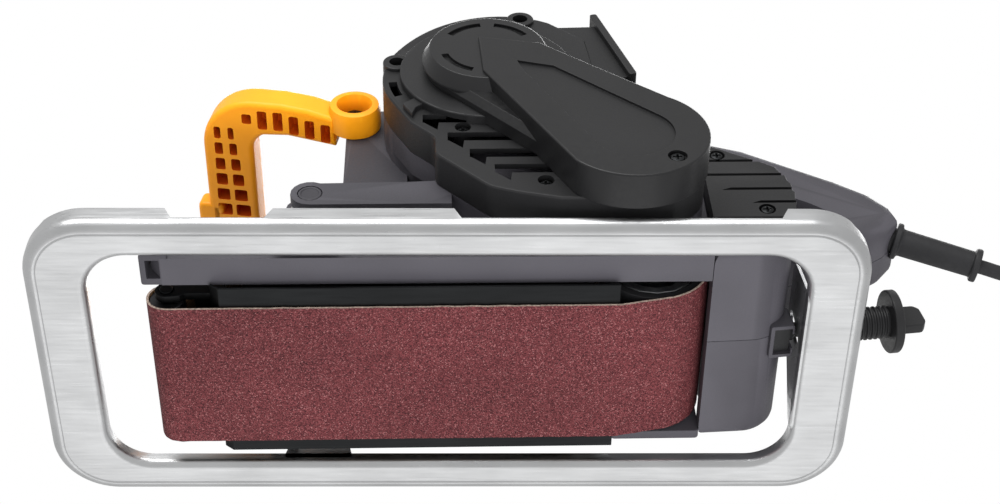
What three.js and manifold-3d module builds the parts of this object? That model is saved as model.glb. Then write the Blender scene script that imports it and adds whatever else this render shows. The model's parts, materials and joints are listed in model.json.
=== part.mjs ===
// Handheld belt sander with a bow handle, a closed rear handle and a tilting sanding frame.
// Millimetres. +Z up, +X to the rear (cord), -Y toward the drive side.
// The origin is the middle of the sanding face, on the work plane.
import * as THREE from 'three';
import { mergeVertices } from 'three/addons/utils/BufferGeometryUtils.js';
import Module from 'manifold-3d';

const wasm = await Module();
wasm.setup();

// ---------------------------------------------------------------- driving dimensions
const GAP = 0.3;                 // running and seating clearance
const MID_Y = -12;               // split plane of the handle shells, the machine's own middle
const BELT = { halfWidth: 38, thick: 1 };
const ROLLER = { x: -111, z: 9, r: 7.7, axle: 3 };
const DRUM = { x: 101, z: 29, r: 23.7 };
const PLATEN_END = 85;           // where the belt's lower run leaves the platen
const MOTOR = { x: 29, z: 107, r: 48, wall: 4 };
const SHAFT = { motor: 4, drum: 5 };              // radii
const SHAFT_END = -100.8;        // the drive end of both shafts
const BEARING = { r: 11, smallR: 9.5 };
const FAN = { r: 36, hub: 9, blades: 8 };
const PULLEY = { motorR: 6, drumR: 14, motorTeeth: 12, drumTeeth: 28, yLow: -100.9, yHigh: -92.4 };
const COVER = { yLow: -88, yHigh: -72, wall: 2.5, diskR: 40, diskY: -92 };
const ARM = {
  top: -105, tier: -98, capTop: -103.5, capR: 26, tierR: 30, endX: 89, endZ: 34, endR: 33, wall: 2.3,
};
const WALL = { yLow: -60, yHigh: -46 };
const PIVOT = { x: -49.5, z: 38, r: 8.5, pin: 2.4, hole: 2.8, head: 5.2 };
const FRAME = {
  front: -169, rear: 191, near: -83, far: 69, rim: 26, nearRim: 17.5, farRim: 17,
  thick: 1.5, outerR: 28, innerR: 19, bottom: -1, tilt: 1,
  wallHigh: 10.5, lowWall: 5, innerWall: 7, tallWall: 12,
};
// The tall tabs of the frame's near wall, by x; the wall is low between them.
const TALL_TABS = [[-160, -106], [-64, 15], [152, 182]];
const LOW_GAPS = TALL_TABS.slice(1).map(([start], i) => [TALL_TABS[i][1], start]);
const BOSS = { x: -33, z: 118, r: 13, yOut: 67, yIn: 54.3 };
const BAIL_TILT = 10;            // degrees, how far the bow handle rises toward the front
const GRIP = { x: 150, z: 105.5, angle: 32.4 };   // middle of the trigger on the grip's underside
const CLAMP = { x: 161, y: -10, z: 16, angle: -6.5 };
const STEM = { z: 14, r: 3.2 };  // the tension rod
const LEVER = { x: 40, z: 20, shaftR: 4, reach: 32, travel: 7 };
const LOCK = { x: 136, z: 127, r: 4 };
const DIAL = { x: 112, z: 140, r: 12 };
const CORD = { exit: new THREE.Vector3(221, -15, 76), aim: new THREE.Vector3(0.93, 0.13, -0.34).normalize() };
const COVER_SCREWS = [[17.3, 64.5], [52, 23]];
const TAB_SCREWS = [[-12.5, 118], [46, 157]];
const ARM_SCREW = [106, 15.5];
const PANEL_SCREWS = [[132, 70.5], [149, 28.5]];
const SCREW = { shank: 1.4, hole: 1.7, head: 3, sink: 3.4, headHigh: 2.2 };
const VENTS = [[12, 57, 52], [20, 47, 60], [30, 37.5, 66], [40, 28, 58]];   // [x from, z, x to]
const VENT_HALF = 2.5;
const DEG = Math.PI / 180;

// ---------------------------------------------------------------- materials
const finish = (color, roughness, metalness = 0) => (
  new THREE.MeshStandardMaterial({ color, roughness, metalness })
);
const GREY = finish(0x5c5a62, 0.6);
const BLACK = finish(0x2c2c2e, 0.5);
const ORANGE = finish(0xf7a41c, 0.45);
const STEEL = finish(0xc9cacc, 0.32, 1);
const DARK_STEEL = finish(0x4a4b4e, 0.5, 0.9);
const ABRASIVE = finish(0x6f353a, 0.95);
const RUBBER = finish(0x18181a, 0.8);
const ALUMINIUM = finish(0xa9abad, 0.45, 1);
const COPPER = finish(0xb4623a, 0.4, 1);
const CORK = finish(0x8a6a48, 0.9);
const CARBON = finish(0x26272a, 0.7);

// ---------------------------------------------------------------- solids
function solid(shape) {
  if (shape instanceof wasm.Manifold) return shape;
  const bare = shape.clone();
  bare.deleteAttribute('normal');
  bare.deleteAttribute('uv');
  const merged = mergeVertices(bare, 1e-4);
  return new wasm.Manifold(new wasm.Mesh({
    numProp: 3,
    vertProperties: Float32Array.from(merged.attributes.position.array),
    triVerts: Uint32Array.from(merged.index.array),
  }));
}

const join = (first, ...rest) => rest.reduce((whole, next) => whole.add(solid(next)), solid(first));
const cut = (first, ...rest) => rest.reduce((whole, next) => whole.subtract(solid(next)), solid(first));
const common = (first, second) => solid(first).intersect(solid(second));

function toGeometry(shape) {
  if (shape instanceof THREE.BufferGeometry) return shape;
  const mesh = shape.getMesh();
  const geometry = new THREE.BufferGeometry();
  geometry.setAttribute('position', new THREE.BufferAttribute(Float32Array.from(mesh.vertProperties), 3));
  geometry.setIndex(new THREE.BufferAttribute(Uint32Array.from(mesh.triVerts), 1));
  geometry.computeVertexNormals();
  return geometry;
}

// ---------------------------------------------------------------- outlines
// Points on an arc, from one angle to another in degrees, both ends included.
function arc(x, z, r, from, to, steps) {
  return Array.from({ length: steps + 1 }, (_, i) => {
    const angle = (from + ((to - from) * i) / steps) * DEG;
    return [x + r * Math.cos(angle), z + r * Math.sin(angle)];
  });
}

const circle = (x, z, r, steps = 20) => arc(x, z, r, 0, 360 - 360 / steps, steps - 1);
const box4 = (x0, x1, z0, z1) => [[x0, z0], [x1, z0], [x1, z1], [x0, z1]];

function roundedBox(x0, x1, y0, y1, r, steps = 6) {
  return [
    ...arc(x1 - r, y0 + r, r, -90, 0, steps),
    ...arc(x1 - r, y1 - r, r, 0, 90, steps),
    ...arc(x0 + r, y1 - r, r, 90, 180, steps),
    ...arc(x0 + r, y0 + r, r, 180, 270, steps),
  ];
}

// Every edge of a closed outline moved inward by a distance, or outward if it is negative.
function inset(points, distance) {
  const area = points.reduce((sum, [x, z], i) => {
    const [nx, nz] = points[(i + 1) % points.length];
    return sum + x * nz - nx * z;
  }, 0);
  const side = Math.sign(area) * distance;
  return points.map(([x, z], i) => {
    const [px, pz] = points[(i + points.length - 1) % points.length];
    const [nx, nz] = points[(i + 1) % points.length];
    const before = new THREE.Vector2(x - px, z - pz).normalize();
    const after = new THREE.Vector2(nx - x, nz - z).normalize();
    const normal = new THREE.Vector2(-before.y - after.y, before.x + after.x).normalize();
    const stretch = side / Math.max(0.35, normal.x * -before.y + normal.y * before.x);
    return [x + normal.x * stretch, z + normal.y * stretch];
  });
}

// ---------------------------------------------------------------- prisms and rods
// The points as vectors, always counterclockwise.
function vectors(points) {
  const list = points.map(([a, b]) => new THREE.Vector2(a, b));
  return THREE.ShapeUtils.area(list) < 0 ? list.reverse() : list;
}

function extrusion(points, depth, holes) {
  const shape = new THREE.Shape(vectors(points));
  for (const hole of holes) shape.holes.push(new THREE.Path(vectors(hole)));
  return new THREE.ExtrudeGeometry(shape, { depth, bevelEnabled: false });
}

// An XZ outline between two Y planes.
function prismY(points, yLow, yHigh, ...holes) {
  return extrusion(points, yHigh - yLow, holes).rotateX(Math.PI / 2).translate(0, yHigh, 0);
}

// An XY outline between two Z planes.
function prismZ(points, zLow, zHigh, ...holes) {
  return extrusion(points, zHigh - zLow, holes).translate(0, 0, zLow);
}

// A YZ outline between two X planes.
function prismX(points, xLow, xHigh, ...holes) {
  const yzx = new THREE.Matrix4().makeBasis(
    new THREE.Vector3(0, 1, 0), new THREE.Vector3(0, 0, 1), new THREE.Vector3(1, 0, 0),
  );
  return extrusion(points, xHigh - xLow, holes).applyMatrix4(yzx).translate(xLow, 0, 0);
}

const block = (x0, x1, y0, y1, z0, z1) => prismZ(box4(x0, x1, y0, y1), z0, z1);
const rodY = (x, z, r, yLow, yHigh, steps) => prismY(circle(x, z, r, steps), yLow, yHigh);
const rodX = (y, z, r, xLow, xHigh, steps) => prismX(circle(y, z, r, steps), xLow, xHigh);
const ringY = (x, z, r, bore, yLow, yHigh, steps = 20) =>
  prismY(circle(x, z, r, steps), yLow, yHigh, circle(x, z, bore, steps));

// A shape turned about the Y direction (degrees) and moved to a place.
const turned = (shape, angle, x, y, z) => toGeometry(shape).clone().rotateY(angle * DEG).translate(x, y, z);

// A body of revolution about the Y direction from [radius, y] points. The outline runs from the
// axis back to the axis, or else closes on itself.
function turnedBody(x, z, profile, steps = 32) {
  const loop = profile[0][0] > 0 ? [...profile, profile[0]] : profile;
  const points = loop.map(([r, y]) => new THREE.Vector2(r, y));
  return new THREE.LatheGeometry(points, steps).translate(x, 0, z);
}

// A round bar along a curve.
function bar(curve, r, steps, sides) {
  const round = new THREE.Shape(circle(0, 0, r, sides).map(([a, b]) => new THREE.Vector2(a, b)));
  return new THREE.ExtrudeGeometry(round, { steps, extrudePath: curve });
}

// ---------------------------------------------------------------- the assembly
const sander = new THREE.Group();

function add(name, shape, material) {
  const mesh = new THREE.Mesh(toGeometry(shape), material);
  mesh.name = name;
  sander.add(mesh);
}

// ---------------------------------------------------------------- sanding belt, drum and roller
// The loop of the belt, moved inward by a distance. It leaves the platen's rear end at a slope,
// wraps the drum, and comes back over the front roller.
function beltLoop(inward) {
  const drumR = DRUM.r + GAP + BELT.thick;
  const rollerR = ROLLER.r + GAP + BELT.thick;
  const reach = Math.hypot(DRUM.x - PLATEN_END, DRUM.z);
  const rise = Math.atan2(DRUM.z, DRUM.x - PLATEN_END) - Math.asin(drumR / reach);
  const span = Math.hypot(DRUM.x - ROLLER.x, DRUM.z - ROLLER.z);
  const slope = Math.atan2(DRUM.z - ROLLER.z, DRUM.x - ROLLER.x) + Math.asin((drumR - rollerR) / span);
  const top = slope / DEG + 90;
  return [
    ...arc(ROLLER.x, ROLLER.z, rollerR - inward, 270, top, 10),
    ...arc(DRUM.x, DRUM.z, drumR - inward, top, rise / DEG - 90, 14),
    [PLATEN_END - inward * Math.tan(rise / 2), inward],
  ];
}

function addRunningGear() {
  const w = BELT.halfWidth;
  add('sanding_belt', prismY(beltLoop(0), -w, w, beltLoop(BELT.thick)), ABRASIVE);

  // The drum is an aluminium hub under a rubber sleeve: a tube round a bored core, joined by a web.
  const end = w - 0.5;
  const bore = SHAFT.drum + GAP;
  const tube = { outer: 20, inner: 16 };
  const core = { r: 9, far: 20 };
  const web = { near: -6, far: 4 };
  add('drum_rubber_lagging', ringY(DRUM.x, DRUM.z, DRUM.r, tube.outer + GAP, -end, end, 24), RUBBER);
  const hub = turnedBody(DRUM.x, DRUM.z, [
    [bore, -end], [core.r, -end], [core.r, web.near], [tube.inner, web.near], [tube.inner, -end],
    [tube.outer, -end], [tube.outer, end], [tube.inner, end], [tube.inner, web.far],
    [core.r, web.far], [core.r, core.far], [bore, core.far],
  ], 16);
  add('drum_hub', hub, ALUMINIUM);
  add('drum_shaft', rodY(DRUM.x, DRUM.z, SHAFT.drum, SHAFT_END, 24, 16), STEEL);

  add('front_roller', ringY(ROLLER.x, ROLLER.z, ROLLER.r, ROLLER.axle + GAP, 1 - w, w - 1, 18), STEEL);
  add('front_roller_axle', rodY(ROLLER.x, ROLLER.z, ROLLER.axle, -42.5, 42.5, 12), STEEL);
}

// ---------------------------------------------------------------- platen, belt frame and tensioner
function addPlaten() {
  const sheet = [[-92, 4.6], [-88, 1.3], [84.2, 1.3], [84.2, 2.5], [-87.5, 2.5], [-91.2, 5.5]];
  add('platen_sheet', prismY(sheet, -48, 45), DARK_STEEL);
  add('platen_cushion', block(-84, 78, -40, 40, 2.8, 5.7), CORK);
}

function addBeltFrame() {
  const outline = [[-78, 6], [73, 6], [73, 44.5], [-78, 19.5]];
  const inside = [[-74.5, 8.4], [69.5, 8.4], [69.5, 41.2], [-74.5, 17.2]];
  const springSeat = block(-37, -34, -42, 30, 8, 23);
  const shell = cut(prismY(outline, WALL.yHigh + GAP, 38), prismY(inside, -42, 39));
  const frame = cut(
    join(shell, springSeat),
    rodX(0, STEM.z, STEM.r + GAP, -80, -30, 12),
    rodY(LEVER.x, LEVER.z, LEVER.shaftR + GAP, -47, -40, 16),
  );
  add('belt_frame', frame, DARK_STEEL);
}

function addTensioner() {
  const halfPlate = 3;
  const slotR = LEVER.shaftR + GAP;
  const plate = [
    ...arc(LEVER.x, LEVER.z, slotR + 4, -90, 90, 8),
    [LEVER.x - LEVER.travel - 8, LEVER.z + slotR + 4], [-28, STEM.z + 4], [-28, STEM.z - 4], [10, STEM.z - 4],
  ];
  const slot = [
    ...arc(LEVER.x, LEVER.z, slotR, -90, 90, 6),
    ...arc(LEVER.x - LEVER.travel, LEVER.z, slotR, 90, 270, 6),
  ];
  const rod = join(
    rodX(0, STEM.z, STEM.r, -85.7, -26, 12),
    rodX(0, STEM.z, 4.8, -64, -61, 12),
    cut(prismY(plate, -halfPlate, halfPlate), prismY(slot, -halfPlate - 1, halfPlate + 1)),
  );
  add('tension_rod', rod, STEEL);

  const coil = { x0: -59.4, x1: -38.4, r: 4.5, wire: 0.75, turns: 4 };
  class Helix extends THREE.Curve {
    getPoint(t) {
      const angle = t * coil.turns * 2 * Math.PI;
      const along = coil.x0 + (coil.x1 - coil.x0) * t;
      return new THREE.Vector3(along, coil.r * Math.sin(angle), STEM.z + coil.r * Math.cos(angle));
    }
  }
  add('tension_spring', bar(new Helix(), coil.wire, 40, 4), STEEL);

  const tip = LEVER.x - LEVER.reach;
  const arm = [
    ...arc(LEVER.x, LEVER.z, 6.5, -90, 90, 8),
    ...arc(tip, LEVER.z, 4.5, 90, 270, 8),
  ];
  const lever = join(
    prismY(arm, 39, 43),
    rodY(LEVER.x, LEVER.z, LEVER.shaftR, -45, 40, 16),
    block(tip - 3, tip + 3, 42.5, 48, LEVER.z - 3.5, LEVER.z + 3.5),
  );
  add('belt_tension_lever', lever, BLACK);

  const yokeY = { in: 38.6, out: 42 };
  const side = (sign) => {
    const [y0, y1] = [sign * yokeY.in, sign * yokeY.out].sort((a, b) => a - b);
    const cheek = [
      ...arc(ROLLER.x, ROLLER.z, 5, 90, 270, 8), [-105, 4.6], [-103, 6.2], [-86, 6.2], [-86, 14],
    ];
    return prismY(cheek, y0, y1);
  };
  const cross = block(-99, -86, -yokeY.out, yokeY.out, 7.5, 14.5);
  const axleWay = rodY(ROLLER.x, ROLLER.z, ROLLER.axle + GAP, -43, 43, 12);
  const yoke = cut(join(cross, side(1), side(-1)), axleWay);
  add('roller_yoke', yoke, DARK_STEEL);

  const knob = { x: -66, z: 14 };
  const tracking = join(
    rodY(knob.x, knob.z, 2.5, 20, 44, 10),
    rodY(knob.x, knob.z, 6.5, 43, 50, 14),
  );
  add('tracking_knob', tracking, BLACK);
}

// ---------------------------------------------------------------- drive side outlines
// The fan scroll grows from the motor housing's radius at the left to the dust duct at the top.
function scroll(extra, from, to, steps) {
  return Array.from({ length: steps + 1 }, (_, i) => {
    const angle = from + ((to - from) * i) / steps;
    const share = THREE.MathUtils.smoothstep(150 - angle, 0, 90);
    const r = MOTOR.r + 10 * share + extra;
    return [MOTOR.x + r * Math.cos(angle * DEG), MOTOR.z + r * Math.sin(angle * DEG)];
  });
}

// The drive side outline, shared by the black cover and the grey pan that it sits on.
function driveOutline(extra = 0) {
  return [
    ...scroll(extra, 208, 58, 12),
    [76 + extra, 140 + extra], [80 + extra, 98 + extra], [108 + extra, 62 + extra],
    ...arc(96, 34, 25 + extra, 30, -70, 5),
    [58, 10 - extra], [40, 14.5 - extra], [28, 19 - extra],
    [5 - extra, 44], [5 - extra, 57], [-6 - extra, 69],
  ];
}

// The long arm of the belt cover, from the cap at the motor to the round end at the drum.
function armOutline() {
  return [
    [25, 114.5], [53, 108.7], [76, 88.3],
    ...arc(ARM.endX, ARM.endZ, ARM.endR, 57, -141, 12),
    [26.5, 85.5],
  ];
}

// Two circles and their common tangents: the lower tier of the belt cover.
function tierOutline(inward) {
  const lean = Math.atan2(ARM.endZ - MOTOR.z, ARM.endX - MOTOR.x) / DEG;
  return [
    ...arc(MOTOR.x, MOTOR.z, ARM.tierR - inward, lean + 90, lean + 270, 10),
    ...arc(ARM.endX, ARM.endZ, ARM.endR - inward, lean - 90, lean + 90, 10),
  ];
}

function addSideCover() {
  const { yLow, yHigh, wall, diskR, diskY } = COVER;
  const outline = driveOutline();
  const shell = cut(
    join(prismY(outline, yLow, yHigh), rodY(MOTOR.x, MOTOR.z, diskR, diskY, yLow + 1, 28)),
    prismY(inset(outline, wall), yLow + wall, yHigh + 1),
    rodY(MOTOR.x, MOTOR.z, diskR - wall, diskY + wall, yLow + wall + 1, 28),
  );
  // Screw posts stand on the pan; the two by the rim are tabs.
  const screws = [...COVER_SCREWS, ...TAB_SCREWS];
  const posts = screws.map(([x, z]) => rodY(x, z, 5.5, yLow + 1, yHigh, 10));
  const duct = [[56, 153], [82.5, 154], [95, 108], [74, 100]];
  const flange = [[79.5, 160], [83, 160.8], [98, 106], [94.5, 105]];
  const cover = join(
    shell,
    ...posts,
    cut(prismY(duct, -87, yHigh), prismY(inset(duct, wall), -84.5, yHigh - 2.5)),
    prismY(flange, -90, -62),
  );
  const ductWay = [[60, 148], [90, 156], [100, 112], [70, 108]];
  const holes = [
    ...VENTS.map(([x0, z, x1]) => (
      block(x0, x1, yLow - 1, yLow + wall + 1, z - VENT_HALF, z + VENT_HALF)
    )),
    ...screws.map(([x, z]) => rodY(x, z, SCREW.hole, yLow - 1, yHigh + 1, 8)),
    ...screws.map(([x, z]) => rodY(x, z, SCREW.sink, yLow - 1, yLow + 4, 10)),
    rodY(MOTOR.x, MOTOR.z, 5.5, diskY - 1, yLow + 6, 16),
    rodY(DRUM.x, DRUM.z, 7, yLow - 1, yLow + 6, 16),
    prismY(ductWay, -84.5, yHigh - 2.5),
  ];
  add('side_cover', cut(cover, ...holes), BLACK);
}

function addBeltCover() {
  const seat = COVER.yLow - GAP;
  const inner = seat + 0.1;
  const floor = ARM.top + ARM.wall;
  const tierInside = prismY(tierOutline(ARM.wall), ARM.tier + ARM.wall, inner);
  const tier = cut(prismY(tierOutline(0), ARM.tier, seat), tierInside);
  const arm = prismY(armOutline(), ARM.top, ARM.tier + ARM.wall);
  const cap = prismY(circle(MOTOR.x, MOTOR.z, ARM.capR, 22), ARM.capTop, ARM.tier + ARM.wall);
  const cavities = [
    prismY(inset(armOutline(), ARM.wall), floor, inner),
    prismY(circle(MOTOR.x, MOTOR.z, ARM.capR - ARM.wall, 22), ARM.capTop + ARM.wall, inner),
  ];
  // The raised disk of the side cover reaches into the tier, so the tier is relieved around it.
  const relief = rodY(MOTOR.x, MOTOR.z, COVER.diskR + GAP, COVER.diskY - GAP, seat + 1, 28);
  const cover = cut(
    cut(join(tier, arm, cap), ...cavities),
    relief,
    rodY(...ARM_SCREW, SCREW.hole, ARM.top - 1, seat + 1, 10),
    rodY(...ARM_SCREW, SCREW.sink, ARM.top - 1, ARM.top + 1.2, 12),
  );
  add('belt_cover', cover, BLACK);
}

// ---------------------------------------------------------------- main body
function pivotArm() {
  const outline = [
    ...arc(PIVOT.x, PIVOT.z, PIVOT.r, 60, 270, 10),
    [0, 29.5], [12, 29.5], [12, 47], [-6, 46],
  ];
  return prismY(outline, COVER.yHigh + GAP, -67.4);
}

function addBody() {
  const { x, z, r, wall } = MOTOR;
  const tubeLow = COVER.yHigh + GAP;
  const tubeHigh = 66;
  const tube = rodY(x, z, r, tubeLow, tubeHigh, 32);
  const pan = prismY(driveOutline(), tubeLow, WALL.yLow);
  const nose = block(-37, -8, -54, 54, 40, 131);
  const deck = prismY([[-37, 36.5], [96, 58], [124, 58], [124, 61.5], [-37, 61.5]], WALL.yLow, 37.5);
  const sideWall = prismY([
    [-117, 14], [-112, 7], [124, 6], [124, 61.5], [-20, 61.5], [-37, 50], [-72, 32], [-117, 25],
  ], WALL.yLow, WALL.yHigh);
  const pad = rodY(PIVOT.x, PIVOT.z - 4, 11, -65.1, WALL.yLow, 14);
  const farArm = prismY([
    ...arc(PIVOT.x, PIVOT.z, PIVOT.r, 120, 300, 8), [-20, 44], [-20, 60], [-37, 60],
  ], 46, 51.4);

  const whole = join(tube, pan, nose, deck, sideWall, pad, farArm, pivotArm());
  const bores = [
    rodY(x, z, r - wall, -61.5, tubeHigh + 1, 28),
    block(-33.5, -12, -50.5, 32, 43.5, 127.5),
    prismY([[-33, 41.5], [60, 56], [60, 58], [-33, 58]], -42, 38.5),
    rodY(x, z, BEARING.r + GAP, tubeLow - 1, -60, 20),
    rodY(DRUM.x, DRUM.z, BEARING.r + GAP, tubeLow - 1, WALL.yHigh + 1, 20),
    rodY(BOSS.x, BOSS.z, 2, -55, 55, 10),
    rodY(PIVOT.x, PIVOT.z, PIVOT.hole, -73, -53, 12),
    rodY(PIVOT.x, PIVOT.z, PIVOT.head + 0.4, -73, -70.2, 14),
    rodY(PIVOT.x, PIVOT.z, PIVOT.hole, 45, 52, 12),
    ...[...COVER_SCREWS, ...TAB_SCREWS].map(([sx, sz]) => (
      rodY(sx, sz, SCREW.hole, tubeLow - 1, -63, 10)
    )),
  ];
  add('main_body', join(cut(whole, ...bores), brushGuide(-1), brushGuide(1)), GREY);

  const capProfile = [
    [0, 82], [40.5, 82], [45, 78.5], [45, tubeHigh + GAP],
    [r, tubeHigh + GAP], [r, 80], [42, 85], [0, 85],
  ];
  const cap = join(
    turnedBody(x, z, capProfile, 24),
    ringY(x, z, 13, BEARING.smallR + GAP, 60, 83, 16),
  );
  const vents = Array.from({ length: 8 }, (_, i) => turnedVent(i * 45 + 22.5));
  add('motor_end_cap', cut(cap, ...vents), BLACK);
}

// A radial air slot through the motor's end cap.
function turnedVent(angle) {
  return turned(block(20, 37, 80, 86, -2, 2), angle, MOTOR.x, 0, MOTOR.z);
}

// ---------------------------------------------------------------- rear housing and handle
const LOWER_REAR = [[124.3, 6], [143, 7], ...arc(143, 25, 18, -80, 0, 5), [164.5, 46], [162, 58]];

function wideOutline() {
  return [
    ...arc(MOTOR.x, MOTOR.z, MOTOR.r + 0.4, 14, -40, 9),
    [68, 61.8], [124.3, 61.8], ...LOWER_REAR, [152, 65], [113, 89], [108, 98], [92, 116],
  ];
}

function handleOutline() {
  return [
    ...arc(MOTOR.x, MOTOR.z, MOTOR.r + 0.4, 42, 0, 7),
    [124, 74], [150, 56], [163.4, 44], [205, 60], [217, 67],
    [220.5, 85], [197, 106.5], [156, 133.5], [122, 147], [80, 150], [63, 148],
  ];
}

const HAND_HOLE = [
  [113.5, 99], [116, 112], [124, 117], [140.5, 111.5], [181.5, 85.5], [190.5, 77.5], [188, 72],
  [166, 63], [153, 67], [114, 90],
];

// One moulded half of the rear housing: a shell open toward the split plane.
function rearHalf(side) {
  const wallOut = side < 0 ? -59.7 : 45;
  const gripOut = MID_Y + side * 18;
  const seam = MID_Y + side * 0.15;
  const between = (outline, a, b, ...holes) => prismY(outline, Math.min(a, b), Math.max(a, b), ...holes);
  const wall = 3.5;
  const outer = join(
    between(wideOutline(), seam, wallOut),
    between(handleOutline(), seam, gripOut, HAND_HOLE),
  );
  const hollow = join(
    between(inset(wideOutline(), wall), seam - side, wallOut - side * wall),
    between(inset(handleOutline(), wall), seam - side, gripOut - side * wall),
  );
  const drumWay = (r) => rodY(DRUM.x, DRUM.z, r, -45.7, 46, 28);
  const handRim = between(inset(HAND_HOLE, -wall), seam - 2 * side, gripOut + side);
  const clampPost = block(140, 166, -22, 2, 6, 30);
  const shell = cut(outer, cut(hollow, drumWay(30.5), handRim, clampPost));
  return cut(
    shell,
    drumWay(27.3),
    between(HAND_HOLE, seam - side, wallOut + side),
    turned(block(-21, 21, -8.3, 8.3, -6, 4), GRIP.angle, GRIP.x, MID_Y, GRIP.z),
    alongCord(turnedBody(0, 0, [[0, -14], [6.7, -14], [6.7, 3], [0, 3]], 14)),
    clampRecess(),
    dialSlot(),
    rodY(LOCK.x, LOCK.z, LOCK.r + GAP, -32, -20, 12),
  );
}

// A shape built along the Y direction, laid along the cord's way out.
function alongCord(shape) {
  const lean = new THREE.Quaternion().setFromUnitVectors(new THREE.Vector3(0, 1, 0), CORD.aim);
  return shape.applyQuaternion(lean).translate(CORD.exit.x, CORD.exit.y, CORD.exit.z);
}

const dialSlot = () => block(DIAL.x - 13, DIAL.x + 13, MID_Y - 4.5, MID_Y + 4.5, 135, 152);

// A shape laid out along the clamp screw's own axis, moved to its place.
const alongClamp = (shape) => turned(shape, CLAMP.angle, CLAMP.x, CLAMP.y, CLAMP.z);

// The T-shaped pocket at the rear that holds the clamp nut, with room for the screw's tip behind.
function clampRecess() {
  return join(
    alongClamp(block(-7.5, 0.6, -7, 7, -6.3, 6.3)),
    alongClamp(block(0, 12, -4, 4, -6.3, 6.3)),
    alongClamp(rodX(0, 0, 4.2, -15, -7, 14)),
  );
}

function addRearHousing() {
  add('rear_housing_left', rearHalf(-1), GREY);
  add('rear_housing_right', rearHalf(1), GREY);

  // The soft strip follows the grip's top line, from the dial to the cord end.
  const topLine = [[126, 145.6], [156, 133.7], [197, 106.8], [214, 92]];
  const strip = [...topLine, ...topLine.map(([x, z]) => [x + 1.6, z + 2.4]).reverse()];
  const lifted = strip.map(([x, z]) => [x + 0.1, z + 0.2]);
  add('grip_strip', prismY(lifted, MID_Y - 12, MID_Y + 12), RUBBER);

  const panel = [
    [124.6, 80.5], [128, 78.6], [152, 63.6], [160, 52.5], [162.5, 39], [159.5, 23], [124.6, 23],
  ];
  const grooves = [66, 55, 44, 34].map((z) => block(128, 164, -69, -66.6, z - 0.7, z + 0.7));
  const panelHoles = PANEL_SCREWS.map(([x, z]) => rodY(x, z, SCREW.hole, -69, -59, 10));
  const panelSinks = PANEL_SCREWS.map(([x, z]) => rodY(x, z, SCREW.sink, -69, -65.5, 12));
  add('rear_side_panel', cut(prismY(panel, -68, -60.1), ...grooves, ...panelHoles, ...panelSinks), BLACK);
}

// ---------------------------------------------------------------- front bow handle
// The bow in plan, measured from the boss: the outer edge from side to side, then the inner edge back.
function bowPlan() {
  const outer = [[-8, -63.5], [-30, -67], ...arc(-41, -37, 30, -90, -180, 6), [-73, 0]];
  const inner = [[-44.5, 0], [-44, -36], ...arc(-36, -40, 8, -180, -255, 3), [-30, -49], [-8, -50]];
  const mirrored = (points) => points.map(([x, y]) => [x, -y]).reverse();
  return [...outer, ...mirrored(outer).slice(1), ...mirrored(inner), ...inner.slice(1)];
}

function addFrontHandle() {
  const thick = 9;
  const bow = prismZ(bowPlan(), -thick, thick);
  const bossAt = (side) => {
    const [y0, y1] = [side * BOSS.yIn, side * BOSS.yOut].sort((a, b) => a - b);
    return rodY(0, 0, BOSS.r, y0, y1, 18);
  };
  const barCells = [-1, 1].flatMap((side) => [0, 1, 2, 3, 4].map((i) => {
    const y = side * (5 + i * 9);
    return block(-69, -48.5, y - 3.4, y + 3.4, -thick - 1, thick - 4);
  }));
  const armCells = [-1, 1].flatMap((side) => [0, 1, 2].map((i) => {
    const x = -17 - i * 8.5;
    const [y0, y1] = [side * 53, side * 62.5].sort((a, b) => a - b);
    return block(x - 3.2, x + 3.2, y0, y1, -thick - 1, thick - 4);
  }));
  const noseRelief = block(-9, 30, -54.2, 54.2, -40, 30);
  const cup = (side) => {
    const [y0, y1] = [side * 58, side * (BOSS.yOut + 1)].sort((a, b) => a - b);
    return rodY(0, 0, 8.5, y0, y1, 14);
  };
  const handle = cut(
    join(bow, bossAt(1), bossAt(-1)),
    ...barCells, ...armCells, noseRelief, cup(1), cup(-1),
    rodY(0, 0, 2.8, -70, 70, 10),
  );
  add('front_handle', turned(handle, BAIL_TILT, BOSS.x, 0, BOSS.z), ORANGE);
}

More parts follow.
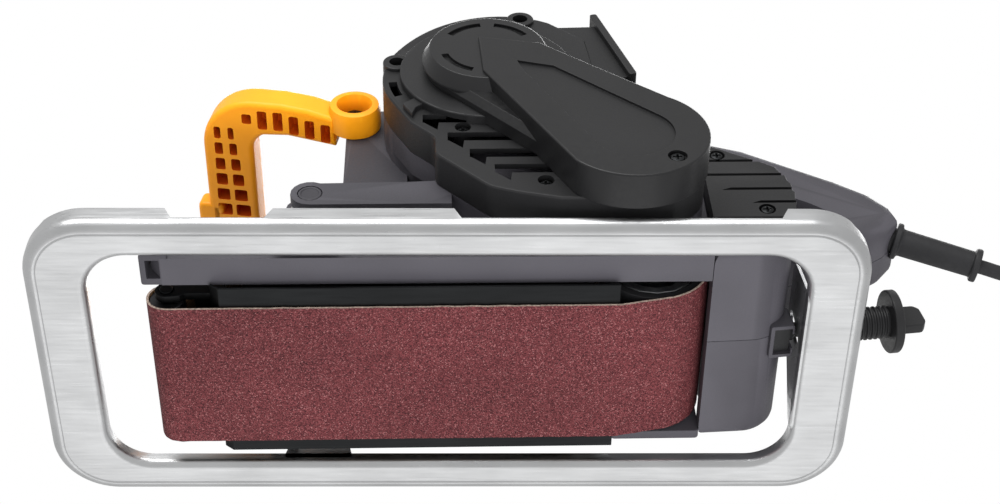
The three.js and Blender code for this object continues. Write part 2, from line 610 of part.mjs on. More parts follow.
// ---------------------------------------------------------------- motor
function addMotor() {
  const { x, z } = MOTOR;
  const bore = SHAFT.motor + GAP;
  add('motor_shaft', rodY(x, z, SHAFT.motor, SHAFT_END, 72, 14), STEEL);
  const stator = cut(
    ringY(x, z, 40, 24.5, -30, 25, 24),
    block(x - 30, x - 18, -31, 26, z - 8, z + 8), block(x + 18, x + 30, -31, 26, z - 8, z + 8),
  );
  add('stator_core', stator, DARK_STEEL);
  for (const [name, sign] of [['field_coil_upper', 1], ['field_coil_lower', -1]]) {
    const low = sign > 0 ? 26 : -39;
    const coil = cut(
      block(x - 16, x + 16, 25.4, 31.5, z + low, z + low + 13),
      rodY(x, z, 25, 20, 40, 24),
    );
    add(name, coil, COPPER);
  }
  add('armature', turnedBody(x, z, [
    [bore, -40], [16, -40], [16, -30], [23.5, -30], [23.5, 24], [16, 24], [16, 31], [bore, 31],
  ], 18), COPPER);
  add('commutator', ringY(x, z, 12, bore, 33, 50, 16), COPPER);

  const blade = block(FAN.hub - 1, FAN.r - 1, -84, -76.5, -1, 1);
  const blades = Array.from({ length: FAN.blades }, (_, i) => (
    turned(blade, (i * 360) / FAN.blades, x, 0, z)
  ));
  const fanDisk = ringY(x, z, FAN.r, bore, -77, -75, 24);
  const fanHub = ringY(x, z, FAN.hub, bore, -84, -75, 12);
  add('cooling_fan', join(fanDisk, fanHub, ...blades), BLACK);
  add('motor_bearing_left', ringY(x, z, BEARING.r, bore, -70, -61.8, 16), STEEL);
  add('motor_bearing_right', ringY(x, z, BEARING.smallR, bore, 61, 68, 16), STEEL);

  add('carbon_brush_front', brushBlock(-1, 12.4, 27, 3, 5), CARBON);
  add('carbon_brush_rear', brushBlock(1, 12.4, 27, 3, 5), CARBON);
}

// A block on the brush line, on the front (-1) or rear (1) side of the commutator.
function brushBlock(side, from, to, halfY, halfZ) {
  const [x0, x1] = [MOTOR.x + side * from, MOTOR.x + side * to].sort((a, b) => a - b);
  return block(x0, x1, 41.5 - halfY, 41.5 + halfY, MOTOR.z - halfZ, MOTOR.z + halfZ);
}

// The moulded guide that holds a carbon brush, open toward the commutator.
function brushGuide(side) {
  return cut(brushBlock(side, 15, MOTOR.r - 2, 5, 7), brushBlock(side, 14, 36, 3 + GAP, 5 + GAP));
}

// ---------------------------------------------------------------- belt drive
function toothedWheel(x, z, r, bore, teeth) {
  const rim = Array.from({ length: teeth * 2 }, (_, i) => {
    const angle = (i * Math.PI) / teeth;
    const reach = i % 2 ? r : r - 0.9;
    return [x + reach * Math.cos(angle), z + reach * Math.sin(angle)];
  });
  const flange = (y0) => ringY(x, z, r + 1.5, bore, y0, y0 + 1, 16);
  return join(
    prismY(rim, PULLEY.yLow + 1, PULLEY.yHigh - 1, circle(x, z, bore, 14)),
    flange(PULLEY.yHigh - 1),
  );
}

function driveBeltLoop(extra) {
  const reach = Math.hypot(DRUM.x - MOTOR.x, DRUM.z - MOTOR.z);
  const lean = Math.atan2(DRUM.z - MOTOR.z, DRUM.x - MOTOR.x) / DEG;
  const wrap = Math.asin((PULLEY.drumR - PULLEY.motorR) / reach) / DEG;
  return [
    ...arc(MOTOR.x, MOTOR.z, PULLEY.motorR + extra, lean + 90 + wrap, lean + 270 - wrap, 8),
    ...arc(DRUM.x, DRUM.z, PULLEY.drumR + extra, lean - 90 - wrap, lean + 90 + wrap, 12),
  ];
}

function addDrive() {
  const motorBore = SHAFT.motor + GAP;
  const drumBore = SHAFT.drum + GAP;
  const { motorR, motorTeeth, drumR, drumTeeth } = PULLEY;
  add('motor_pulley', toothedWheel(MOTOR.x, MOTOR.z, motorR, motorBore, motorTeeth), STEEL);
  add('drum_pulley', toothedWheel(DRUM.x, DRUM.z, drumR, drumBore, drumTeeth), DARK_STEEL);
  const loop = prismY(driveBeltLoop(2), PULLEY.yLow + 0.5, PULLEY.yHigh - 1.4, driveBeltLoop(0.4));
  add('drive_belt', loop, RUBBER);
  add('drum_bearing_outer', ringY(DRUM.x, DRUM.z, BEARING.r, drumBore, -71, -64, 16), STEEL);
  add('drum_bearing_inner', ringY(DRUM.x, DRUM.z, BEARING.r, drumBore, -54, -46.5, 16), STEEL);
}

// ---------------------------------------------------------------- controls and electrics
function addControls() {
  const trigger = cut(
    block(-20, 20, -7.7, 7.7, -9, 5),
    block(-30, -14, -9, 9, -10, -5),
  );
  add('trigger', turned(trigger, GRIP.angle, GRIP.x, MID_Y, GRIP.z), BLACK);
  add('switch_module', turned(block(-18, 18, -9, 9, 11.5, 20.5), GRIP.angle, GRIP.x, MID_Y, GRIP.z), BLACK);
  add('lock_button', join(
    rodY(LOCK.x, LOCK.z, LOCK.r, -33.5, -25, 14),
    rodY(LOCK.x, LOCK.z, 2, -26, -22, 8),
  ), BLACK);
  add('speed_dial', rodY(DIAL.x, DIAL.z, DIAL.r, MID_Y - 3.7, MID_Y + 3.7, 20), BLACK);

  const along = (d) => CORD.exit.clone().addScaledVector(CORD.aim, d);
  const boot = turnedBody(0, 0, [
    [4, -10], [6.1, -10], [6.1, 0], [8.6, 0], [8.6, 2.5], [6.3, 3],
    [6, 38.5], [7.8, 38.5], [7.8, 41], [4, 41],
  ], 14);
  add('cord_boot', alongCord(boot), RUBBER);

  const cord = new THREE.CatmullRomCurve3([
    along(-26), along(-12), along(20), along(42),
    new THREE.Vector3(276, -6, 58.5), new THREE.Vector3(300, -4, 57),
  ]);
  add('power_cord', bar(cord, 3.4, 12, 8), RUBBER);
}

// ---------------------------------------------------------------- sanding frame and its clamp
function addSandingFrame() {
  const F = FRAME;
  const outer = roundedBox(F.front, F.rear, F.near, F.far, F.outerR, 6);
  const inner = roundedBox(
    F.front + F.rim, F.rear - F.rim, F.near + F.nearRim, F.far - F.farRim, F.innerR, 5,
  );
  const z = F.bottom;
  const t = F.thick;
  const ring = (out, inn, high) => prismZ(out, z, z + high, inn);
  const outerWall = (high) => ring(outer, inset(outer, t), high);
  const shallow = (x0, x1) => block(x0, x1, F.near - 1, F.near + 3, z + F.lowWall, z + 40);
  const tall = (x0, x1) => common(outerWall(F.tallWall), block(x0, x1, F.near - 1, F.near + 9, z, z + 40));
  const ear = (y) => prismY([
    ...arc(PIVOT.x, PIVOT.z, 7, 0, 180, 8), [PIVOT.x - 16, z + 4], [PIVOT.x + 16, z + 4],
  ], y, y + t);
  const slot = roundedBox(CLAMP.y - 4, CLAMP.y + 4, 9, 32, 3.9, 4);
  const bracketX = F.rear - F.rim;
  const bracketPlan = [[-45, z + 1], [-36, 37], [2, 37], [34, 8], [34, z + 1]];
  const bracket = prismX(bracketPlan, bracketX, bracketX + t, slot);
  const shape = cut(
    join(
      ring(outer, inner, t),
      cut(outerWall(F.wallHigh), ...LOW_GAPS.map(([x0, x1]) => shallow(x0, x1))),
      ...TALL_TABS.map(([x0, x1]) => tall(x0, x1)),
      ring(inset(inner, -t), inner, F.innerWall),
      ear(F.near + F.nearRim - t), ear(F.far - F.farRim),
      bracket,
    ),
    rodY(PIVOT.x, PIVOT.z, PIVOT.hole, F.near, F.far, 12),
  );
  const pivot = [PIVOT.x, 0, PIVOT.z];
  const level = toGeometry(shape).translate(-pivot[0], 0, -pivot[2]);
  add('sanding_frame', turned(level, F.tilt, ...pivot), STEEL);

  const nearPin = join(
    rodY(PIVOT.x, PIVOT.z, PIVOT.head, -71.7, -70.5, 14),
    rodY(PIVOT.x, PIVOT.z, PIVOT.pin, -71, -56, 10),
  );
  add('frame_pivot_screw_left', nearPin, DARK_STEEL);
  const farPin = join(
    rodY(PIVOT.x, PIVOT.z, PIVOT.head, 53.9, 56, 14),
    rodY(PIVOT.x, PIVOT.z, PIVOT.pin, 45, 54, 10),
  );
  add('frame_pivot_screw_right', farPin, DARK_STEEL);
}

function addClamp() {
  add('clamp_nut', alongClamp(cut(block(-7, 0.2, -6.6, 6.6, -5.9, 5.9), rodX(0, 0, 3.8, -8, 1, 12))), BLACK);
  add('clamp_washer', alongClamp(prismX(circle(0, 0, 9, 20), 15.2, 16.8, circle(0, 0, 3.9, 12))), STEEL);
  // The ribbed collar: a row of shallow rings on the knob's neck, then the flange.
  const ribs = Array.from({ length: 9 }, (_, i) => [[6.8, 18.4 + i * 3], [7.5, 19.9 + i * 3]]).flat();
  const neck = turnedBody(0, 0, [
    [0, -5], [3.4, -5], [3.4, 17.2], [6.8, 17.2], ...ribs, [7, 46.6], [14.35, 46.6], [14.35, 50.8], [0, 50.8],
  ], 14).rotateZ(-Math.PI / 2);
  const wing = block(50.5, 63.5, -2, 2, -7, 7);
  add('clamp_screw', alongClamp(join(neck, wing)), BLACK);
}

// ---------------------------------------------------------------- screws
// A cap screw along Y with its head toward a side (-1 or +1).
function screwY(x, z, headY, side, length, headR = SCREW.head) {
  const order = (a, b) => [Math.min(a, b), Math.max(a, b)];
  return join(
    rodY(x, z, headR, ...order(headY, headY - side * SCREW.headHigh), 10),
    rodY(x, z, SCREW.shank, ...order(headY - side * 2, headY - side * length), 6),
  );
}

function addScrews() {
  const seat = COVER.yLow + 4 - GAP;
  const addRow = (name, places) => places.forEach(([x, z], i) => {
    add(`${name}_${i + 1}`, screwY(x, z, seat - SCREW.headHigh, -1, 20), DARK_STEEL);
  });
  addRow('side_cover_screw', COVER_SCREWS);
  addRow('side_cover_tab_screw', TAB_SCREWS);
  const [armX, armZ] = ARM_SCREW;
  add('belt_cover_screw', join(
    rodY(armX, armZ, SCREW.head, ARM.top + 0.1, ARM.top + 0.9, 10),
    rodY(armX, armZ, SCREW.shank, ARM.top + 0.5, ARM.top + 3.6, 6),
  ), DARK_STEEL);
  const panelSeat = -65.5 - GAP;
  PANEL_SCREWS.forEach(([x, z], i) => {
    add(`rear_panel_screw_${i + 1}`, screwY(x, z, panelSeat - SCREW.headHigh, -1, 7), DARK_STEEL);
  });
  for (const [name, side] of [['left', -1], ['right', 1]]) {
    add(`handle_screw_${name}`, screwY(BOSS.x, BOSS.z, side * 60.6, side, 12, 5), DARK_STEEL);
  }
}

addBody();
addRearHousing();
addSideCover();
addBeltCover();
addFrontHandle();
addPlaten();
addBeltFrame();
addTensioner();
addRunningGear();
addMotor();
addDrive();
addControls();
addSandingFrame();
addClamp();
addScrews();

export default sander;
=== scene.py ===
import json
import math

import bmesh
import bpy
from mathutils import Matrix, Vector, noise


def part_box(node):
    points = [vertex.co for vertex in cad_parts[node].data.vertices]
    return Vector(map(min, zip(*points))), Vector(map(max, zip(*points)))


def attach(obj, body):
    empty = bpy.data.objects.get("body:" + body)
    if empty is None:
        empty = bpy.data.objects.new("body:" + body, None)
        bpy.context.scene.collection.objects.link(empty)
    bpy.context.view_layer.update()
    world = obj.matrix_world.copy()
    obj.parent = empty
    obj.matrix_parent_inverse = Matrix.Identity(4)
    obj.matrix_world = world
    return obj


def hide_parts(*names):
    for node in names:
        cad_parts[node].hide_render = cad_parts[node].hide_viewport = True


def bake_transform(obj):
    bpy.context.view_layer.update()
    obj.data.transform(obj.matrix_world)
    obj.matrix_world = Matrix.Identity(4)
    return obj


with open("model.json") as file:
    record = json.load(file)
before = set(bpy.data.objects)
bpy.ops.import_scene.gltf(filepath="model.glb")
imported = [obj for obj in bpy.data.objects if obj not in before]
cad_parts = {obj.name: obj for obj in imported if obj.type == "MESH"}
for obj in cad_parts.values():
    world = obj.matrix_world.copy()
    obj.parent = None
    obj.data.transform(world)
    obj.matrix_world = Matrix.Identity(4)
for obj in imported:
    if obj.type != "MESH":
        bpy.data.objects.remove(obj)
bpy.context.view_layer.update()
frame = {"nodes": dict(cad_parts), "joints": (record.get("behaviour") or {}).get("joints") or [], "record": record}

# A handheld belt sander. Lengths below are in millimetres, in the frame's own axes: +Z up from the
# work, +X to the cord, -Y to the drive side. Axes come from the joints, planes from the nodes.
MM = 0.001
HOUSING = "housing"


def joint_point(name):
    found = next(joint for joint in frame["joints"] if joint["name"] == name)
    return Vector(found["pos_m"]) / MM


def node_box(node):
    low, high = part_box(node)
    return low / MM, high / MM


def middles(*nodes):
    """The middle of each node's box."""
    return [sum(node_box(node), Vector()) / 2 for node in nodes]


MOTOR = joint_point("motor_spin")
DRUM = joint_point("drum_spin")
ROLLER = joint_point("front_roller_spin")
PIVOT = joint_point("frame_tilt")
CLAMP = joint_point("clamp_screw_turn")
BELT_HIGH = node_box("sanding_belt")[1]
ARM_LOW = node_box("belt_cover")[0]


# ---------------------------------------------------------------- outlines
def arc(x, z, r, start, end, steps):
    """Points on an arc, from one angle to another in degrees, both ends included."""
    angles = [math.radians(start + (end - start) * i / steps) for i in range(steps + 1)]
    return [(x + r * math.cos(a), z + r * math.sin(a)) for a in angles]


def circle(x, z, r, steps=48):
    return arc(x, z, r, 0, 360 - 360 / steps, steps - 1)


def signed_area(points):
    following = points[1:] + points[:1]
    return sum(x * nz - nx * z for (x, z), (nx, nz) in zip(points, following)) / 2


def inset(points, distance):
    """Every edge of a closed counterclockwise outline moved inward, or outward if negative."""
    count = len(points)
    moved = []
    for i, point in enumerate(points):
        here = Vector(point)
        before = (here - Vector(points[i - 1])).normalized()
        after = (Vector(points[(i + 1) % count]) - here).normalized()
        left = Vector((-before.y - after.y, before.x + after.x)).normalized()
        stretch = distance / max(0.4, left.dot(Vector((-before.y, before.x))))
        moved.append(tuple(here + left * stretch))
    return moved


def soften(points, radius, steps=4, ends=True):
    """The outline with each corner replaced by a short curve that starts a radius away from it."""
    soft = []
    count = len(points)
    for i, point in enumerate(points):
        if not ends and i in (0, count - 1):
            soft.append(point)
            continue
        here = Vector(point)
        back = Vector(points[i - 1]) - here
        ahead = Vector(points[(i + 1) % count]) - here
        start = here + back.normalized() * min(radius, back.length * 0.45)
        end = here + ahead.normalized() * min(radius, ahead.length * 0.45)
        for k in range(steps + 1):
            t = k / steps
            soft.append(tuple(start * (1 - t) ** 2 + here * 2 * t * (1 - t) + end * t * t))
    return soft


# ---------------------------------------------------------------- meshes
PLANE_TO_ROW = {
    "Y": lambda a, b, c: (a, c, b),
    "Z": lambda a, b, c: (a, b, c),
    "X": lambda a, b, c: (c, a, b),
}


def new_piece(name, corners, faces):
    """A mesh object from corners in millimetres, with its faces turned outward."""
    mesh = bpy.data.meshes.new(name)
    mesh.from_pydata([Vector(corner) * MM for corner in corners], [], faces)
    shell = bmesh.new()
    shell.from_mesh(mesh)
    bmesh.ops.recalc_face_normals(shell, faces=shell.faces)
    shell.to_mesh(mesh)
    shell.free()
    mesh.polygons.foreach_set("use_smooth", [True] * len(mesh.polygons))
    piece = bpy.data.objects.new(name, mesh)
    bpy.context.scene.collection.objects.link(piece)
    return piece


def stack(name, rings, closed=False):
    """A solid skinned over rings of equal length. It is capped at both ends unless it closes."""
    count = len(rings[0])
    corners = [corner for ring in rings for corner in ring]
    faces = []
    for level in range(len(rings) - (0 if closed else 1)):
        here = level * count
        above = (level + 1) % len(rings) * count
        for i in range(count):
            j = (i + 1) % count
            faces.append((here + i, here + j, above + j, above + i))
    if not closed:
        faces.append(tuple(range(count)))
        faces.append(tuple(len(corners) - count + i for i in range(count)))
    return new_piece(name, corners, faces)


def slab(name, outline, low, high, low_edge=0.0, high_edge=0.0, along="Y", steps=3):
    """An outline between two planes across an axis, with its edges rounded by a radius."""
    points = outline if signed_area(outline) > 0 else outline[::-1]
    layers = []
    for edge, plane, side in ((low_edge, low, 1), (high_edge, high, -1)):
        turn = [math.pi / 2 * k / steps for k in range(steps + 1)] if edge else [math.pi / 2]
        part = [(plane + side * edge * (1 - math.cos(a)), edge * (1 - math.sin(a))) for a in turn]
        layers += part if side > 0 else part[::-1]
    place = PLANE_TO_ROW[along]
    rings = [[place(a, b, depth) for a, b in inset(points, inward)] for depth, inward in layers]
    return stack(name, rings)


def block(name, x0, x1, y0, y1, z0, z1):
    return slab(name, [(x0, z0), (x1, z0), (x1, z1), (x0, z1)], y0, y1)


def lathe(name, profile, centre=(0, 0, 0), steps=56, turn=None):
    """A body turned about the Y direction from [radius, along] points, then turned and moved."""
    rings = []
    for i in range(steps):
        a = math.tau * i / steps
        rings.append([(r * math.cos(a), along, r * math.sin(a)) for r, along in profile])
    piece = stack(name, rings, closed=True)
    weld(piece)
    piece.data.transform(Matrix.Translation(Vector(centre) * MM) @ (turn or Matrix.Identity(4)))
    return piece


def weld(piece, distance=0.00001):
    shell = bmesh.new()
    shell.from_mesh(piece.data)
    bmesh.ops.remove_doubles(shell, verts=shell.verts, dist=distance)
    bmesh.ops.dissolve_degenerate(shell, edges=shell.edges, dist=distance / 2)
    bmesh.ops.recalc_face_normals(shell, faces=shell.faces)
    shell.to_mesh(piece.data)
    shell.free()


def boolean(piece, operation, others):
    """Joins or cuts other meshes with a piece for good, and takes them away."""
    for other in others:
        step = piece.modifiers.new("step", "BOOLEAN")
        step.operation = operation
        step.solver = "EXACT"
        step.object = other
        bpy.context.view_layer.update()
        result = bpy.data.meshes.new_from_object(
            piece.evaluated_get(bpy.context.evaluated_depsgraph_get())
        )
        piece.modifiers.clear()
        piece.data = result
        bpy.data.objects.remove(other)
    piece.data.polygons.foreach_set("use_smooth", [True] * len(piece.data.polygons))
    return piece


def carve(piece, *cutters):
    return boolean(piece, "DIFFERENCE", cutters)


def unite(piece, *others):
    return boolean(piece, "UNION", others)


def gather(piece, *others):
    """Loose bodies that share one object, such as the plates of a welded frame."""
    shell = bmesh.new()
    for source in (piece, *others):
        shell.from_mesh(source.data)
    shell.to_mesh(piece.data)
    shell.free()
    for other in others:
        bpy.data.objects.remove(other)
    return piece


def crisp(piece, width=0.35, segments=2, angle=32):
    """Small rounded edges, with flat faces kept flat."""
    edge = piece.modifiers.new("edge", "BEVEL")
    edge.width = width * MM
    edge.segments = segments
    edge.limit_method = "ANGLE"
    edge.angle_limit = math.radians(angle)
    edge.miter_outer = "MITER_ARC"
    even = piece.modifiers.new("even", "WEIGHTED_NORMAL")
    even.keep_sharp = True
    even.weight = 100
    return piece


def tube(name, points, radius, sides=6):
    """A round cable along smooth points."""
    curve = bpy.data.curves.new(name, "CURVE")
    curve.dimensions = "3D"
    curve.bevel_depth = radius * MM
    curve.bevel_resolution = sides
    curve.use_fill_caps = True
    curve.resolution_u = 16
    spline = curve.splines.new("BEZIER")
    spline.bezier_points.add(len(points) - 1)
    for knot, point in zip(spline.bezier_points, points):
        knot.co = Vector(point) * MM
        knot.handle_left_type = "AUTO"
        knot.handle_right_type = "AUTO"
    holder = bpy.data.objects.new(name + "_curve", curve)
    bpy.context.scene.collection.objects.link(holder)
    bpy.context.view_layer.update()
    mesh = bpy.data.meshes.new_from_object(
        holder.evaluated_get(bpy.context.evaluated_depsgraph_get())
    )
    bpy.data.objects.remove(holder)
    piece = bpy.data.objects.new(name, mesh)
    bpy.context.scene.collection.objects.link(piece)
    weld(piece)
    return piece


# ---------------------------------------------------------------- materials
def shader(name, color, roughness, metallic=0.0):
    """A new material with its nodes, links, principled node and object coordinates."""
    material = bpy.data.materials.new(name)
    material.use_nodes = True
    nodes = material.node_tree.nodes
    links = material.node_tree.links
    surface = nodes["Principled BSDF"]
    surface.inputs["Base Color"].default_value = (*color, 1)
    surface.inputs["Roughness"].default_value = roughness
    surface.inputs["Metallic"].default_value = metallic
    surface.inputs["Specular IOR Level"].default_value = 0.28
    place = nodes.new("ShaderNodeTexCoord").outputs["Object"]
    return material, nodes, links, surface, place


def noise_field(nodes, links, place, scale, detail=3.0, stretch=(1, 1, 1)):
    """Noise in the piece's own coordinates. The scale is in features per metre."""
    mapping = nodes.new("ShaderNodeMapping")
    mapping.inputs["Scale"].default_value = stretch
    links.new(place, mapping.inputs["Vector"])
    field = nodes.new("ShaderNodeTexNoise")
    field.inputs["Scale"].default_value = scale
    field.inputs["Detail"].default_value = detail
    links.new(mapping.outputs["Vector"], field.inputs["Vector"])
    return field.outputs["Fac"]


def ramp(nodes, links, value, stops):
    """A colour or a grey read off a value between 0 and 1."""
    node = nodes.new("ShaderNodeValToRGB")
    band = node.color_ramp
    while len(band.elements) < len(stops):
        band.elements.new(0.5)
    for element, (position, color) in zip(band.elements, stops):
        element.position = position
        shade = color if isinstance(color, tuple) else (color, color, color)
        element.color = (*shade, 1)
    links.new(value, node.inputs["Fac"])
    return node.outputs["Color"]


def add_bump(nodes, links, surface, height, distance, strength=1.0):
    """A bump in metres, on top of any bump that is there already."""
    bump = nodes.new("ShaderNodeBump")
    bump.inputs["Distance"].default_value = distance
    bump.inputs["Strength"].default_value = strength
    links.new(height, bump.inputs["Height"])
    if surface.inputs["Normal"].is_linked:
        links.new(surface.inputs["Normal"].links[0].from_socket, bump.inputs["Normal"])
    links.new(bump.outputs["Normal"], surface.inputs["Normal"])


def shaded(color, factor):
    return tuple(channel * factor for channel in color)


def moulded(name, color, roughness, grain=1400, relief=0.00003, worn=0.25):
    """Moulded plastic: a fine spark-eroded grain, slight mottling and paler worn edges."""
    material, nodes, links, surface, place = shader(name, color, roughness)
    broad = noise_field(nodes, links, place, 28, 4)
    mottled = ramp(nodes, links, broad, [(0.3, shaded(color, 0.88)), (0.7, shaded(color, 1.12))])
    edges = nodes.new("ShaderNodeNewGeometry").outputs["Pointiness"]
    wear = ramp(nodes, links, edges, [(0.51, 0.0), (0.6, worn)])
    mix = nodes.new("ShaderNodeMix")
    mix.data_type = "RGBA"
    links.new(wear, mix.inputs["Factor"])
    links.new(mottled, mix.inputs["A"])
    mix.inputs["B"].default_value = (*[min(1, channel * 2.2 + 0.012) for channel in color], 1)
    links.new(mix.outputs["Result"], surface.inputs["Base Color"])
    fine = noise_field(nodes, links, place, grain, 2)
    rough = ramp(nodes, links, fine, [(0.3, roughness - 0.07), (0.7, roughness + 0.07)])
    links.new(rough, surface.inputs["Roughness"])
    add_bump(nodes, links, surface, fine, relief)
    return material


def rolled_steel(name, color, roughness, brushing=(1, 1, 1), relief=0.00002):
    """Bare sheet metal: faint rub marks along one direction, dull patches and shallow dents."""
    material, nodes, links, surface, place = shader(name, color, roughness, 1.0)
    patches = noise_field(nodes, links, place, 22, 6, (1, 1.6, 1))
    tint = ramp(nodes, links, patches, [(0.25, shaded(color, 0.82)), (0.75, shaded(color, 1.08))])
    links.new(tint, surface.inputs["Base Color"])
    marks = noise_field(nodes, links, place, 900, 3, brushing)
    rough = ramp(nodes, links, marks, [(0.25, roughness - 0.08), (0.75, roughness + 0.1)])
    links.new(rough, surface.inputs["Roughness"])
    add_bump(nodes, links, surface, marks, relief)
    dents = noise_field(nodes, links, place, 60, 2)
    add_bump(nodes, links, surface, dents, relief * 6, 0.5)
    return material


def abrasive_grit():
    """Maroon grit in resin: dark gaps, red body and a few bright grains, on a rough coat."""
    base = (0.09, 0.02, 0.023)
    material, nodes, links, surface, place = shader("abrasive_grit", base, 0.85)
    grains = nodes.new("ShaderNodeTexVoronoi")
    grains.inputs["Scale"].default_value = 2400
    links.new(place, grains.inputs["Vector"])
    split = nodes.new("ShaderNodeSeparateColor")
    links.new(grains.outputs["Color"], split.inputs["Color"])
    speck = ramp(nodes, links, split.outputs["Red"], [
        (0.0, (0.026, 0.006, 0.008)), (0.45, (0.08, 0.018, 0.02)),
        (0.9, (0.135, 0.034, 0.038)), (1.0, (0.23, 0.1, 0.1)),
    ])
    worn = noise_field(nodes, links, place, 16, 5)
    shade = ramp(nodes, links, worn, [(0.3, 0.86), (0.7, 1.12)])
    mix = nodes.new("ShaderNodeMix")
    mix.data_type = "RGBA"
    mix.blend_type = "MULTIPLY"
    mix.inputs["Factor"].default_value = 1
    links.new(speck, mix.inputs["A"])
    links.new(shade, mix.inputs["B"])
    links.new(mix.outputs["Result"], surface.inputs["Base Color"])
    add_bump(nodes, links, surface, split.outputs["Green"], 0.00018)
    return material


def woven_cloth():
    """The brown twill backing inside the belt."""
    color = (0.11, 0.062, 0.032)
    material, nodes, links, surface, place = shader("belt_cloth", color, 0.92)
    threads = nodes.new("ShaderNodeTexWave")
    threads.inputs["Scale"].default_value = 420
    threads.inputs["Distortion"].default_value = 1.5
    threads.bands_direction = "DIAGONAL"
    links.new(place, threads.inputs["Vector"])
    tint = ramp(nodes, links, threads.outputs["Fac"], [
        (0.2, shaded(color, 0.6)), (0.8, shaded(color, 1.5)),
    ])
    links.new(tint, surface.inputs["Base Color"])
    add_bump(nodes, links, surface, threads.outputs["Fac"], 0.00012)
    return material


def speckled(name, color, roughness, scale, contrast=0.5, metallic=0.0, relief=0.00008):
    """A mixed body such as cork, carbon or cast metal."""
    material, nodes, links, surface, place = shader(name, color, roughness, metallic)
    field = noise_field(nodes, links, place, scale, 6)
    tint = ramp(nodes, links, field, [
        (0.3, shaded(color, 1 - contrast)), (0.7, shaded(color, 1 + contrast)),
    ])
    links.new(tint, surface.inputs["Base Color"])
    add_bump(nodes, links, surface, field, relief)
    return material


def windings(name, color, direction):
    """Enamelled wire laid side by side, across one axis."""
    material, nodes, links, surface, place = shader(name, color, 0.32, 0.9)
    wires = nodes.new("ShaderNodeTexWave")
    wires.bands_direction = direction
    wires.inputs["Scale"].default_value = 300
    wires.inputs["Distortion"].default_value = 0.4
    links.new(place, wires.inputs["Vector"])
    tint = ramp(nodes, links, wires.outputs["Fac"], [
        (0.1, shaded(color, 0.35)), (0.6, color),
    ])
    links.new(tint, surface.inputs["Base Color"])
    add_bump(nodes, links, surface, wires.outputs["Fac"], 0.0003)
    return material


GREY_COLOR = (0.042, 0.04, 0.047)
BLACK_COLOR = (0.0085, 0.0085, 0.009)
GREY = moulded("grey_nylon", GREY_COLOR, 0.52)
BLACK = moulded("black_nylon", BLACK_COLOR, 0.46)
DEEP_BLACK = moulded("black_nylon_smooth", shaded(BLACK_COLOR, 0.8), 0.36, 700, 0.00001)
ORANGE = moulded("orange_handle", (0.93, 0.33, 0.006), 0.42, 900, 0.00001, 0.1)
# A darker, redder copy of the handle's orange for the walls and floors of the cells under the bow: painted shade
# in the recesses, since the real handle is one orange throughout.
ORANGE_PAINTED_SHADE = moulded("orange_painted_shade", (0.62, 0.09, 0.002), 0.6, 900, 0.00001, 0.0)
SHEET = rolled_steel("pressed_steel", (0.55, 0.555, 0.56), 0.33, (0.05, 1, 1))
STEEL = rolled_steel("turned_steel", (0.58, 0.58, 0.6), 0.26, (1, 0.05, 1))
DARK = rolled_steel("dark_steel", (0.08, 0.08, 0.085), 0.42, (0.1, 1, 1), 0.00003)
BLUED = rolled_steel("blackened_plate", (0.022, 0.023, 0.024), 0.4, (0.06, 1, 1), 0.00002)
PAINTED = moulded("painted_screw", shaded(GREY_COLOR, 0.8), 0.5)
GRIT = abrasive_grit()
CLOTH = woven_cloth()
FRAY = speckled("frayed_edge", (0.46, 0.36, 0.3), 0.95, 900, 0.5)
RUBBER = moulded("rubber", (0.013, 0.013, 0.014), 0.6, 500, 0.00004, 0.1)
CAST = speckled("cast_aluminium", (0.42, 0.43, 0.44), 0.45, 700, 0.12, 1.0)
COPPER = windings("copper_wire", (0.5, 0.17, 0.06), "Y")
BARS = windings("copper_bars", (0.5, 0.2, 0.09), "DIAGONAL")
CORK = speckled("cork", (0.24, 0.13, 0.055), 0.9, 480, 0.5)
CARBON = speckled("carbon", (0.02, 0.021, 0.023), 0.55, 900, 0.4)
LAMINATE = windings("stator_laminations", (0.16, 0.16, 0.17), "Y")

SLOT_OF = {
    "grey_nylon": GREY, "black_nylon": BLACK, "orange_handle": ORANGE, "bare_steel": STEEL,
    "dark_steel": DARK, "abrasive": GRIT, "rubber": RUBBER, "cast_aluminium": CAST,
    "copper": COPPER, "cork": CORK, "carbon": CARBON,
}
OWN_MATERIAL = {
    "sanding_frame": SHEET, "platen_sheet": BLUED, "stator_core": LAMINATE,
    "commutator": BARS, "belt_frame": BLUED, "belt_cover": DEEP_BLACK,
    "front_roller": DARK, "front_roller_axle": BLUED, "roller_yoke": BLUED,
}


def paint(piece, material):
    piece.data.materials.clear()
    piece.data.materials.append(material)
    return piece


def hang(piece, node, body=HOUSING):
    """Puts a piece on a body, in the place of a CAD node."""
    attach(piece, body)
    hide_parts(node)


def dress_cad_nodes():
    """Every carried-over CAD node gets its material and small rounded edges."""
    for entry in frame["record"]["subparts"]:
        node = frame["nodes"][entry["node"]]
        slot_name = entry["material_slot"]
        material = OWN_MATERIAL.get(entry["node"], SLOT_OF[slot_name])
        node.data.materials.clear()
        node.data.materials.append(material)
        node.data.polygons.foreach_set("use_smooth", [True] * len(node.data.polygons))
        close = node.modifiers.new("close", "WELD")
        close.merge_threshold = 0.00002
        flat = node.modifiers.new("flat", "DECIMATE")
        flat.decimate_type = "DISSOLVE"
        flat.angle_limit = math.radians(1)
        crisp(node)


